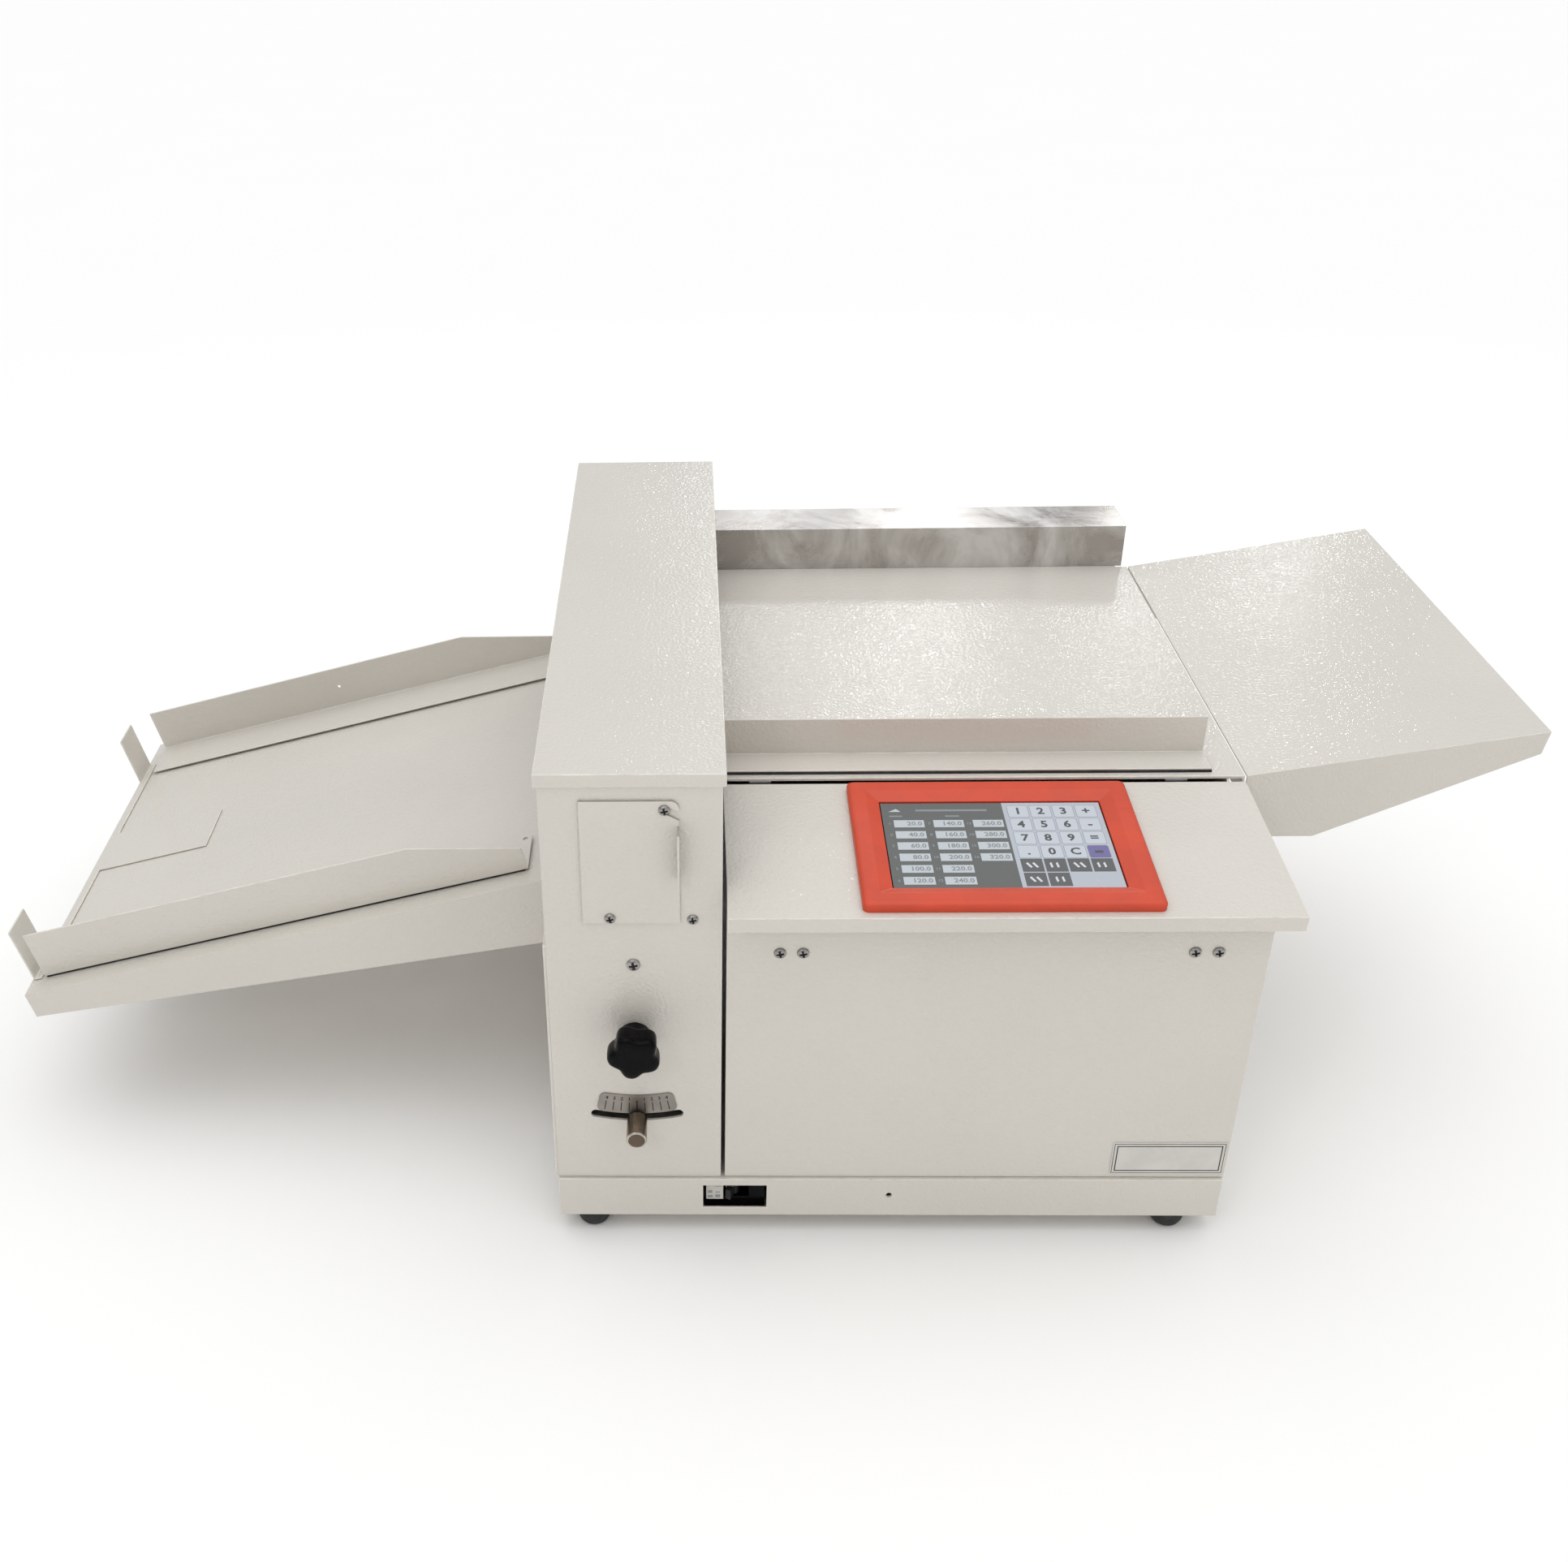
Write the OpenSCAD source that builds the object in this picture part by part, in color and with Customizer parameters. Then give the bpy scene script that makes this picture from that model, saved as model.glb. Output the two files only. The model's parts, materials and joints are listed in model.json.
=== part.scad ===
// Bench-top sheet creasing machine: creasing tower, touch screen console,
// feed table with extension, and a sloping delivery tray.
// Machine frame in millimetres: +X points up-feed to the extension table, +Y to the back,
// +Z up from the floor. Sizes below are measured from the tower's front left edge and
// the floor; the whole model is then centred on its bounding box.

/* [Base] */
// Length of the base along the sheet's travel
base_w = 487; // [460:1:620]
// Height of the base skirt
base_h = 36; // [30:1:50]
// Height of the rubber feet
foot_h = 16.5; // [12:0.5:25]
// Largest diameter of a rubber foot
foot_d = 26; // [20:1:34]
// Thickness of the cover sheets
sheet = 2; // [1:0.5:2.5]
// Length of the breaker window in the skirt
breaker_w = 47; // [40:1:60]

/* [Tower] */
// Width of the tower along the sheet's travel
tower_w = 120; // [116:1:150]
// Height of the tower's top face
tower_h = 400; // [396:1:500]
// Height of the top cover's lips
lid_lip = 10; // [8:1:20]

/* [Feed table] */
// Height of the table's surface
table_z = 317.3; // [310:0.1:340]
// Width of the table across the sheet's travel
feed_w = 375; // [300:1:480]
// Distance from the tower's front face to the table's front edge
front_d = 130.5; // [120:0.5:160]
// How far the table reaches beyond the base
table_over = 12; // [8:1:20]
// Thickness of the table plate
table_t = 2.5; // [2:0.5:4]

/* [Extension table] */
// Length of the extension table
ext_len = 207; // [120:1:300]
// Rise of the extension table in degrees
ext_slope = 9.5; // [0:0.5:15]
// Depth of the extension's side plates at the body
ext_root = 52; // [40:1:60]
// Depth of the extension's outer lip
ext_lip = 18; // [12:1:30]

/* [Console] */
// Slope of the console in degrees
con_slope = 4.8; // [2:0.2:8]
// Depth of the console along its slope
con_d = 151; // [148:1:180]
// Height of the console's front lip
con_lip = 12; // [8:1:20]

/* [Touch screen] */
// Width of the bezel
bezel_w = 198; // [170:1:220]
// Height of the bezel
bezel_h = 139; // [110:1:140]
// Thickness of the bezel
bezel_t = 7; // [4:0.5:12]
// Width of the display
lcd_w = 154; // [120:1:160]
// Height of the display
lcd_h = 95; // [70:1:98]
// Depth of the module behind the console
module_d = 32; // [20:1:40]

/* [Fences] */
// Height of the front fence above the table
fence_h = 32.3; // [20:0.1:50]
// Depth of the front fence's flange
fence_flange = 24.6; // [15:0.1:30]
// Distance from the table's front edge to the front fence
fence_in = 30; // [28:1:120]
// Height of the rear fence above the table
rear_h = 39; // [30:1:60]
// Depth of the rear fence's top
rear_top = 49.6; // [45:0.1:60]
// Thickness of fences and guides
rail_t = 1.5; // [1:0.5:2]
// Thickness of the magnetic strips
magnet_t = 2; // [1:0.5:3]

/* [Delivery tray] */
// Slope of the tray in degrees
tray_slope = 14.5; // [8:0.5:20]
// Length of the tray along its slope
tray_len = 440; // [380:1:520]
// Height of the table above the tray's upper end
tray_drop = 78; // [70:1:90]
// Margin of the tray beyond the table on each side
tray_side = 12.5; // [8:0.5:20]
// Depth of the tray's side plate at its far end
tray_tip = 22; // [15:1:30]
// Depth of the tray's side plate at the tower
tray_root = 57; // [45:1:65]
// Height of the tray guides
guide_h = 42.5; // [25:0.5:60]
// Depth of the tray guides' flanges
guide_flange = 46; // [30:1:60]
// Height of the end stop's ears
ear_h = 48; // [30:1:60]
// Width of the end stop's ears
ear_w = 34; // [20:1:50]

/* [Creasing head] */
// Radius of the rubber covered feed rollers
roller_r = 12.35; // [11.5:0.05:12.45]
// Gap between a roller pair
nip = 0.3; // [0.1:0.1:0.5]
// Width of the creasing beam
beam_w = 30; // [26:1:34]
// Height of the creasing beam
beam_h = 28; // [26:1:34]
// Down stroke of the creasing beam
stroke = 7; // [5:0.5:8]
// Clearance under the raised blade
blade_lift = 5.5; // [5:0.1:6]
// Turn of the cam shaft for the whole stroke in degrees
cam_turn = 140; // [120:1:150]
// Distance from the cam's axis to its flat follower at rest
cam_base = 12; // [11:0.5:14]
// Thickness of the two side frames
frame_t = 8; // [6:1:10]

/* [Controls] */
// Width of the access door
door_w = 65.3; // [60:0.1:70]
// Height of the access door
door_h = 95.7; // [90:0.1:98]
// Radius of the skew lever from its pivot to the handle
lever_r = 137; // [125:1:140]
// Swing of the skew lever to each side in degrees
lever_swing = 12; // [8:1:13]
// Diameter of the lever's handle
handle_d = 14.5; // [10:0.5:18]
// Length of the lever's handle
handle_l = 22.5; // [15:0.5:30]
// Diameter of the star knob
knob_d = 38; // [30:1:50]
// Number of lobes of the star knob
knob_lobes = 5; // [5:1:8]

/* [Fits] */
// Radial clearance of a running fit
run_gap = 0.05; // [0.03:0.01:0.1]
// Clearance between pieces that slide past each other
slide_gap = 0.3; // [0.2:0.05:0.5]

/* [Hidden] */
$fn = 64;

// Finishes
ivory = "#dcdad2";
steel = "#9fa3a6";
bright = "#c9cccf";
dark = "#26262a";
rubber = "#1b1b1d";
orange = "#d9533f";
brass = "#b8995a";
green = "#2e6b4a";

// Heights and depths that several pieces share
base_z = foot_h + base_h;
table_y1 = front_d + feed_w;
frame_y0 = front_d - 18.5;
frame_y1 = table_y1 + 14.5;
tower_d = frame_y1 + frame_t + 37;
back_y = frame_y1 + frame_t + 24.8;
body_x0 = tower_w + 3;
body_x1 = base_w + 1;
table_x1 = base_w + table_over;
table_under = table_z - table_t;
skirt_y = 2.5;
joint_gap = 0.5;

// Lid
lid_gap = 0.3;
panel_top = tower_h - sheet - lid_gap;
slot_floor = 263.6;
throat_z = table_z + 8.7;
exit_z = table_z + 17.7;

// Creasing head
head_x = 60;
infeed_x = 96;
outfeed_x = 24;
roller_pitch = 2 * roller_r + nip;
lower_z = table_z - roller_r - nip / 2;
upper_z = lower_z + roller_pitch;
shaft_r = 5;
gear_n = 20;
gear_t = 5.5;
roller_bush_r = 8;
cam_shaft_r = 6;
cam_bush_r = 12;
skew_bush_r = 9;
beam_z = table_z + 8.7;
beam_top = beam_z + beam_h;
cam_z = beam_top + cam_base + 0.2;
cam_w = 10;
cam_k = stroke / (cam_turn * PI / 180);
die_top = table_z - 0.5;
die_h = 4.8;
bar_z1 = die_top - die_h;
bar_z0 = bar_z1 - 20;
bar_w = 36;
bed_top = bar_z0 - 0.2;
column_r = 5;
column_y = [front_d - 6.5, table_y1 + 3.5];
spring_r = 8;
spring_pocket_r = spring_r + 0.7;
spring_z0 = bar_z1 - 6;
spring_z1 = beam_z + 18;
blade_y0 = front_d + 2.5;
blade_y1 = table_y1 - 5.5;
blade_t = 3;
pivot_y = table_y1 - 20.5;
pivot_r = 6;

// Drive
gear_y = frame_y1 + frame_t + 2;
belt_a_y = gear_y + gear_t + 0.7;
belt_b_y = belt_a_y + 7.2;
belt_c_y = belt_b_y + 7.6;
pulley_w = 6.6;
big_pulley_w = 8;
pulley_r = 10;
big_pulley_r = 20;
belt_t = 1.5;
flange_t = 0.8;
feed_motor_x = 150;
feed_motor_z = 255;
main_motor_z = 150;
motor_shaft_r = 4;
main_shaft_r = 6;

// Controls on the tower's front
lever_x = 59.5;
lever_z = 248;
crank_r = 12;
crank_pin_r = 3;
fork_y = frame_y0 - frame_t - 10;
arm_y = sheet + 4;
arm_t = 4;
knob_z = 191;
knob_rest = 44; // angle of the first lobe
knob_neck_r = 6.5;
knob_hub_r = 11.5;
stud_r = 4;
door_x = 26.4;
door_z = 283.6;
door_t = 1.5;
door_pivot = [44.7, 287.9];
door_lock = [82, 372.8];
door_screw_r = 2.5;
tower_screw = [100.2, 285.6];
panel_screw_z = 257.5;
panel_screw_x = [body_x0 + 36.2, body_x0 + 51.8, body_x1 - 50.4, body_x1 - 34.6];

// Breaker
breaker_x = 107;
breaker_z = [24, 46];
toggle_pivot = [breaker_x + 23, 9.5];
toggle_tilt = 25;

// Pegs of the hung pieces
peg_r = 4;
peg_z = 215;
ext_peg_z = 282;
peg_y = [front_d + 40, table_y1 - 40];

// Delivery tray
tray_z = table_z - tray_drop;
tray_y0 = front_d - tray_side + 1;
tray_y1 = table_y1 + tray_side + 1;
tray_gap = sheet + slide_gap;
guide_s = [24, tray_len - 12];
guide_bend = 108;
guide_end_h = 21;
front_guide_y = front_d + 6.4;
rear_guide_y = table_y1 - 4.4;
stop_s = tray_len - 2;

// Console and touch screen
con_y = front_d - 2.5;
con_z = table_z - 3.1;
bezel_x = body_x0 + 88.5;
bezel_back = 6;
lcd_x = bezel_x + (bezel_w - lcd_w) / 2;
lcd_back = bezel_back + (bezel_h - lcd_h) / 2;
module_edge = 6;
module_y0 = -(con_y - sheet - 2) / cos(con_slope);

// The origin: bottom centre of the bounding box
x_min = -stop_s * cos(tray_slope) - ear_h * sin(tray_slope);
ext_x0 = table_x1 + 1.5;
x_max = ext_x0 + ext_len;
y_min = -33;
y_max = tower_d + sheet + lid_gap;
org_x = (x_min + x_max) / 2;
org_y = (y_min + y_max) / 2;

// ---------- helpers ----------
module place() { translate([-org_x, -org_y, 0]) children(); }
module slab(x0, x1, y0, y1, z0, z1) { translate([x0, y0, z0]) cube([x1 - x0, y1 - y0, z1 - z0]); }
module rod_y(x, z, r, y0, y1) { translate([x, y1, z]) rotate([90, 0, 0]) cylinder(r = r, h = y1 - y0); }
module rod_x(y, z, r, x0, x1) { translate([x0, y, z]) rotate([0, 90, 0]) cylinder(r = r, h = x1 - x0); }
// A shape drawn in X and Z, pushed along Y
module prism_y(y0, y1) { translate([0, y1, 0]) rotate([90, 0, 0]) linear_extrude(y1 - y0) children(); }
module in_tray() { translate([0, 0, tray_z]) rotate([0, -tray_slope, 0]) children(); }
module on_console() { translate([0, con_y, con_z]) rotate([con_slope, 0, 0]) children(); }

// Ring sector in X and Z about a centre, symmetrical about straight down
module sector_down(x, z, r0, r1, half, y0, y1) {
    translate([x, y1, z]) rotate([90, 0, 0]) rotate([0, 0, -90 - half])
        rotate_extrude(angle = 2 * half) translate([r0, 0]) square([r1 - r0, y1 - y0]);
}

// Rounded slot along that sector
module slot_down(x, z, r, w, half, y0, y1) {
    sector_down(x, z, r - w / 2, r + w / 2, half, y0, y1);
    for (a = [-half, half])
        rod_y(x + r * sin(a), z - r * cos(a), w / 2 - 0.05, y0, y1);
}

// Button head screw along Y with its head towards the front
module button_screw(x, z, head_r, shank_r, y_face, y_end) {
    rod_y(x, z, shank_r, y_face, y_end);
    rod_y(x, z, head_r, y_face - 1.2, y_face);
    translate([x, y_face - 1.2, z]) rotate([90, 0, 0]) cylinder(r1 = head_r, r2 = head_r * 0.55, h = 1.3);
}

function inv_pt(rb, a) = [rb * (cos(a) + a * PI / 180 * sin(a)), rb * (sin(a) - a * PI / 180 * cos(a))];
function turn2(p, a) = [p[0] * cos(a) - p[1] * sin(a), p[0] * sin(a) + p[1] * cos(a)];
function flip2(p) = [p[0], -p[1]];
function inv_angle(rb, r) = sqrt(r * r / (rb * rb) - 1) * 180 / PI;
function inv_polar(rb, r) = inv_angle(rb, r) - atan(inv_angle(rb, r) * PI / 180);

// Involute spur gear with a tooth on +X
module gear_2d(n, pitch_r, backlash) {
    m = 2 * pitch_r / n;
    rb = pitch_r * cos(20);
    ro = pitch_r + m;
    rf = pitch_r - 1.2 * m;
    half = 90 / n - backlash / pitch_r * 90 / PI + inv_polar(rb, pitch_r);
    a_out = inv_angle(rb, ro);
    flank = [for (i = [0:4]) turn2(inv_pt(rb, a_out * i / 4), -half)];
    tooth = concat([turn2([rf, 0], -half)], flank,
        [for (i = [4:-1:0]) flip2(flank[i])], [turn2([rf, 0], half)]);
    polygon([for (t = [0:n - 1]) for (p = tooth) turn2(p, t * 360 / n)]);
}

// Pulley with two flanges, starting at y
module pulley(x, z, y, r, w) {
    rod_y(x, z, r, y, y + w);
    rod_y(x, z, r + 1.8, y, y + flange_t);
    rod_y(x, z, r + 1.8, y + w - flange_t, y + w);
}

// Belt round two equal pulleys
module belt_loop(x0, z0, x1, z1, y, r, w) {
    run = norm([x1 - x0, z1 - z0]);
    prism_y(y, y + w) translate([x0, z0]) rotate(atan2(z1 - z0, x1 - x0)) difference() {
        belt_outline(run, r + slide_gap + belt_t);
        belt_outline(run, r + slide_gap);
    }
}
module belt_outline(run, r) {
    circle(r = r);
    translate([run, 0]) circle(r = r);
    translate([0, -r]) square([run, 2 * r]);
}

// ---------- base ----------
module base_pan() {
    color(ivory) difference() {
        slab(0, base_w, -skirt_y, tower_d, foot_h, base_z);
        slab(sheet, base_w - sheet, sheet - skirt_y, tower_d - sheet, foot_h + sheet, base_z - sheet);
        slab(breaker_x, breaker_x + breaker_w, -skirt_y - 1, sheet, breaker_z[0], breaker_z[1]);
        rod_y(244.4, 37, 2.25, -skirt_y - 1, sheet);
    }
}

module rubber_feet() {
    r = foot_d / 2;
    for (x = [24.6, base_w - 31.6]) for (y = [13, tower_d - 25])
        color(rubber) translate([x, y, 0]) rotate_extrude()
            polygon([[0, 0], [r - 5, 0], [r - 2, 2], [r - 0.5, 6], [r, 11], [r, foot_h], [0, foot_h]]);
}

// ---------- tower covers ----------
module tower_front_panel() {
    color(ivory) difference() {
        union() {
            slab(0, tower_w, 0, sheet, base_z + joint_gap, panel_top);
            for (x = [0, tower_w - sheet]) slab(x, x + sheet, sheet, 12, base_z + joint_gap, panel_top);
        }
        slab(door_x + 9, door_x + door_w - 9, -1, sheet + 1, door_z + 12, door_z + door_h - 16);
        slot_down(lever_x, lever_z, lever_r, 7, lever_swing + 0.6, -1, sheet + 1);
        rod_y(lever_x, knob_z, 7, -1, sheet + 1);
        for (p = [door_pivot, door_lock, tower_screw, [lever_x, lever_z]])
            rod_y(p[0], p[1], door_screw_r, -1, sheet + 1);
    }
}

module tower_shell() {
    top = panel_top;
    color(ivory) {
        slab(0, tower_w, tower_d - sheet, tower_d, base_z + joint_gap, top);
        slab(tower_w - sheet, tower_w, 12 + joint_gap, tower_d - sheet, throat_z, top);
        slab(tower_w - sheet, tower_w, back_y, tower_d - sheet, base_z + joint_gap, throat_z);
        slab(0, sheet, 12 + joint_gap, tower_d - sheet, exit_z, top);
        slab(0, sheet, 12 + joint_gap, frame_y0, slot_floor, exit_z);
        slab(0, sheet, frame_y1, tower_d - sheet, slot_floor, exit_z);
    }
}

module tower_left_cover() {
    lip_x = outfeed_x - roller_r - 2;
    color(ivory) difference() {
        union() {
            slab(-sheet, 0, 0.2, tower_d, base_z + joint_gap, slot_floor);
            prism_y(frame_y0 + 2, frame_y1 - 2) polygon([[-sheet, slot_floor - 3], [0, slot_floor - 4],
                [lip_x, lower_z - 6], [lip_x - sheet, lower_z - 5]]);
        }
        for (y = peg_y) rod_x(y, peg_z, peg_r + 0.2, -sheet - 1, 1);
    }
}

module top_cover() {
    o = sheet + lid_gap;
    color(ivory) difference() {
        slab(-o, tower_w + o, -o, tower_d + o, tower_h - lid_lip, tower_h);
        slab(-lid_gap, tower_w + lid_gap, -lid_gap, tower_d + lid_gap, 0, tower_h - sheet);
    }
}

// ---------- body covers ----------
module front_panel() {
    top = con_z - con_y * tan(con_slope) - sheet / cos(con_slope);
    color(ivory) difference() {
        union() {
            slab(body_x0, body_x1, 0, sheet, base_z + joint_gap, top);
            slab(body_x0, body_x0 + sheet, sheet, 14, base_z + joint_gap, top);
        }
        for (x = panel_screw_x) rod_y(x, panel_screw_z, 2, -1, sheet + 1);
    }
}

module right_side_panel() {
    z0 = base_z + joint_gap;
    z_front = con_z - con_y * tan(con_slope) - sheet / cos(con_slope);
    color(ivory) difference() {
        translate([body_x1 - sheet, 0, 0]) rotate([90, 0, 90]) linear_extrude(sheet)
            polygon([[sheet, z0], [back_y, z0], [back_y, table_under - 0.2], [front_d, table_under - 0.2],
                [front_d - 3, con_z - 3], [sheet, z_front]]);
        for (y = peg_y) rod_x(y, ext_peg_z, peg_r + 0.2, body_x1 - sheet - 1, body_x1 + 1);
        for (i = [0:5]) for (y = [150, 250])
            slab(body_x1 - sheet - 1, body_x1 + 1, y, y + 70, 90 + 12 * i, 94 + 12 * i);
    }
}

module rear_panel() {
    color(ivory) difference() {
        slab(tower_w + joint_gap, body_x1, back_y, back_y + sheet, base_z + joint_gap,
            table_z + rear_h - rail_t - 0.3);
        slab(170, 198, back_y - 1, back_y + sheet + 1, 75, 123);
        for (i = [0:6]) slab(270, 390, back_y - 1, back_y + sheet + 1, 90 + 12 * i, 94 + 12 * i);
    }
}

module console() {
    color(ivory) on_console() difference() {
        slab(body_x0, table_x1, -con_d, 0, -con_lip, 0);
        slab(body_x0 - 1, table_x1 - sheet, -con_d + sheet, 1, -con_lip - 1, -sheet);
        slab(bezel_x + module_edge - 0.5, bezel_x + bezel_w - module_edge + 0.5, module_y0 - 0.5,
            -bezel_back - module_edge + 0.5, -con_lip - 1, 1);
    }
}

module touch_screen_bezel() {
    y0 = -bezel_back - bezel_h;
    color(orange) on_console() difference() {
        hull() for (x = [0, bezel_w]) for (y = [0, bezel_h])
            translate([bezel_x + x + (x > 0 ? -8 : 8), y0 + y + (y > 0 ? -8 : 8), 0]) {
                cylinder(r = 8, h = bezel_t - 3, $fn = 32);
                cylinder(r = 5.5, h = bezel_t, $fn = 32);
            }
        hull() {
            slab(lcd_x, lcd_x + lcd_w, -lcd_back - lcd_h, -lcd_back, -1, bezel_t - 4);
            slab(lcd_x - 5, lcd_x + lcd_w + 5, -lcd_back - lcd_h - 5, -lcd_back + 5, bezel_t, bezel_t + 1);
        }
    }
}

module touch_screen_module() {
    color(dark) on_console() {
        slab(bezel_x + module_edge, bezel_x + bezel_w - module_edge, module_y0,
            -bezel_back - module_edge, -module_d, -0.05);
        slab(lcd_x + 0.2, lcd_x + lcd_w - 0.2, -lcd_back - lcd_h + 0.2, -lcd_back - 0.2,
            -0.05, bezel_t - 4.5);
    }
}

module name_plate() {
    color(bright) slab(body_x1 - 84, body_x1 - 2, -0.8, 0, 57, 87);
}

module panel_screws() {
    door_face = -door_t - 0.4;
    color(bright) {
        for (x = panel_screw_x) button_screw(x, panel_screw_z, 4.2, 2, 0, sheet + 6);
        button_screw(door_pivot[0], door_pivot[1], 3.8, door_screw_r, door_face, sheet + 4);
        button_screw(door_lock[0], door_lock[1], 3.8, door_screw_r, door_face, sheet + 4);
        button_screw(tower_screw[0], tower_screw[1], 3.8, door_screw_r, 0, sheet + 4);
        button_screw(lever_x, lever_z, 4.8, door_screw_r, 0, arm_y + 10);
    }
}

// ---------- feed side ----------
module feed_table() {
    x0 = infeed_x + roller_r + 2;
    color(ivory) {
        slab(x0, table_x1, front_d, table_y1, table_under, table_z);
        slab(tower_w + 2.5, base_w + 2, table_y1, table_y1 + 3, table_under, table_z);
        slab(table_x1 - sheet, table_x1, front_d, table_y1, table_z - 17, table_under);
    }
}

module rear_fence() {
    y0 = table_y1 + 1.2;
    y1 = y0 + rear_top;
    z1 = table_z + rear_h;
    x0 = tower_w + 2.5;
    x1 = table_x1 - 4.6;
    color(bright) {
        slab(x0, x1, y0, y0 + rail_t, table_z, z1 - rail_t);
        slab(x0, x1, y0, y1, z1 - rail_t, z1);
        slab(x0, x1, back_y + sheet, back_y + sheet + rail_t, z1 - 26, z1 - rail_t);
    }
}

module front_fence() {
    y1 = front_d + fence_in;
    z0 = table_z + magnet_t;
    x0 = tower_w + 2.8;
    x1 = table_x1 - 23;
    color(ivory) {
        slab(x0, x1, y1, y1 + rail_t, z0, table_z + fence_h);
        slab(x0, x1, y1 - fence_flange, y1, z0, z0 + rail_t);
    }
}

module front_fence_magnet() {
    y1 = front_d + fence_in;
    color(rubber) slab(tower_w + 3, table_x1 - 22.7, y1 - fence_flange - 0.3, y1 - 2,
        table_z + 0.1, table_z + magnet_t);
}

module extension_table() {
    rise = ext_len * tan(ext_slope);
    z1 = table_z + rise;
    z_bot = table_z - ext_root;
    wall_x = body_x1 + slide_gap;
    bend_x = ext_x0 + 55;
    side = [[wall_x, z_bot], [bend_x, z_bot], [x_max - 3, z1 - ext_lip], [x_max, z1],
        [ext_x0, table_z], [ext_x0, table_z - 20], [wall_x, table_z - 20]];
    color(ivory) {
        prism_y(front_d, front_d + sheet) polygon(side);
        prism_y(table_y1 - sheet, table_y1) polygon(side);
        prism_y(front_d + sheet, table_y1 - sheet)
            polygon([[ext_x0, table_z - sheet], [x_max - sheet, z1 - sheet], [x_max, z1], [ext_x0, table_z]]);
        prism_y(front_d + sheet, table_y1 - sheet)
            polygon([[x_max - 3 - sheet, z1 - ext_lip], [x_max - 3, z1 - ext_lip], [x_max, z1],
                [x_max - sheet, z1 - sheet]]);
        slab(wall_x, wall_x + sheet, front_d + sheet, table_y1 - sheet, z_bot, table_z - 20);
        for (y = peg_y) rod_x(y, ext_peg_z, peg_r, body_x1 - 12, wall_x + 0.5);
    }
}

// ---------- delivery side ----------
module delivery_tray() {
    root_s = (tray_gap + sheet * sin(tray_slope)) / cos(tray_slope);
    low_s = tray_gap * cos(tray_slope) + (tray_root + 1) * sin(tray_slope);
    low_h = tray_gap * sin(tray_slope) - (tray_root + 1) * cos(tray_slope);
    flange_x = -tray_gap - 0.5;
    color(ivory) {
        in_tray() {
            for (y = [tray_y0, tray_y1 - sheet])
                prism_y(y, y + sheet)
                    polygon([[-root_s, 0], [-tray_len, 0], [-tray_len, -tray_tip], [-low_s, low_h]]);
            slab(-tray_len, -root_s, tray_y0, tray_y1, -sheet, 0);
            slab(-tray_len, -tray_len + sheet, tray_y0, tray_y1, -tray_tip, 0);
        }
        slab(flange_x - sheet, flange_x, tray_y0 + 1, tray_y1 - 1, tray_z - tray_root, tray_z - 5);
        for (y = peg_y) rod_x(y, peg_z, peg_r, flange_x - 1, 7);
    }
}

// Web of a tray guide in the tray's own frame
module guide_web(y) {
    h0 = magnet_t;
    prism_y(y, y + rail_t) polygon([[-guide_s[0], h0], [-guide_s[0], guide_end_h],
        [-guide_bend, guide_h], [-guide_s[1], guide_h], [-guide_s[1], h0]]);
}

module front_tray_guide() {
    y = front_guide_y;
    color(ivory) in_tray() difference() {
        union() {
            guide_web(y);
            slab(-guide_s[1], -guide_s[0], y + rail_t, y + guide_flange, magnet_t, magnet_t + rail_t);
        }
        translate([-guide_s[0] - 5.5, y + guide_flange - 4, 0]) cylinder(r = 2, h = 10);
    }
}

module rear_tray_guide() {
    y = rear_guide_y;
    color(ivory) in_tray() difference() {
        union() {
            guide_web(y);
            slab(-guide_s[1], -guide_s[0], y - guide_flange, y, magnet_t, magnet_t + rail_t);
        }
        rod_y(-(guide_s[0] + guide_s[1]) / 2 - 12, magnet_t + 21, 1.5, y - 1, y + rail_t + 1);
    }
}

module guide_magnet(y0, y1) {
    color(rubber) in_tray() slab(-guide_s[1] + 1, -guide_s[0] - 3, y0, y1, 0.1, magnet_t);
}
module front_guide_magnet() { guide_magnet(front_guide_y + 1, front_guide_y + 25); }
module rear_guide_magnet() { guide_magnet(rear_guide_y - 25, rear_guide_y + 0.5); }

module end_stop() {
    y_front = front_guide_y;
    y_rear = rear_guide_y - 26;
    color(ivory) in_tray() {
        slab(-stop_s, -stop_s + 7, y_front, y_rear, slide_gap, slide_gap + rail_t);
        slab(-stop_s + 7, -stop_s + 108, front_d + 160, front_d + 220, slide_gap, slide_gap + rail_t);
        for (y = [y_front, y_rear - ear_w])
            slab(-stop_s, -stop_s + rail_t, y, y + ear_w, slide_gap + rail_t, ear_h);
    }
}

// ---------- frames ----------
module bush_holes(y0, y1) {
    for (x = [infeed_x, outfeed_x]) for (z = [lower_z, upper_z]) rod_y(x, z, roller_bush_r, y0, y1);
    rod_y(head_x, cam_z, cam_bush_r, y0, y1);
}

module frame_outline(notch) {
    low = con_z - 6.2;
    polygon(concat([[10, base_z], [base_w - 11, base_z], [base_w - 11, low]],
        notch ? [[body_x1 - 63, low], [body_x1 - 63, 258], [body_x0 + 82, 258], [body_x0 + 82, low]] : [],
        [[tower_w - 8, low], [tower_w - 8, panel_top - 10], [10, panel_top - 10]]));
}

module front_frame() {
    y0 = frame_y0 - frame_t;
    color(steel) difference() {
        prism_y(y0, frame_y0) frame_outline(true);
        bush_holes(y0 - 1, frame_y0 + 1);
        rod_y(lever_x, lever_z, skew_bush_r, y0 - 1, frame_y0 + 1);
        slab(head_x - bar_w / 2 - 4, head_x + bar_w / 2 + 4, y0 - 1, frame_y0 + 1, bar_z0 - 4, beam_top - 4);
    }
}

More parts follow.
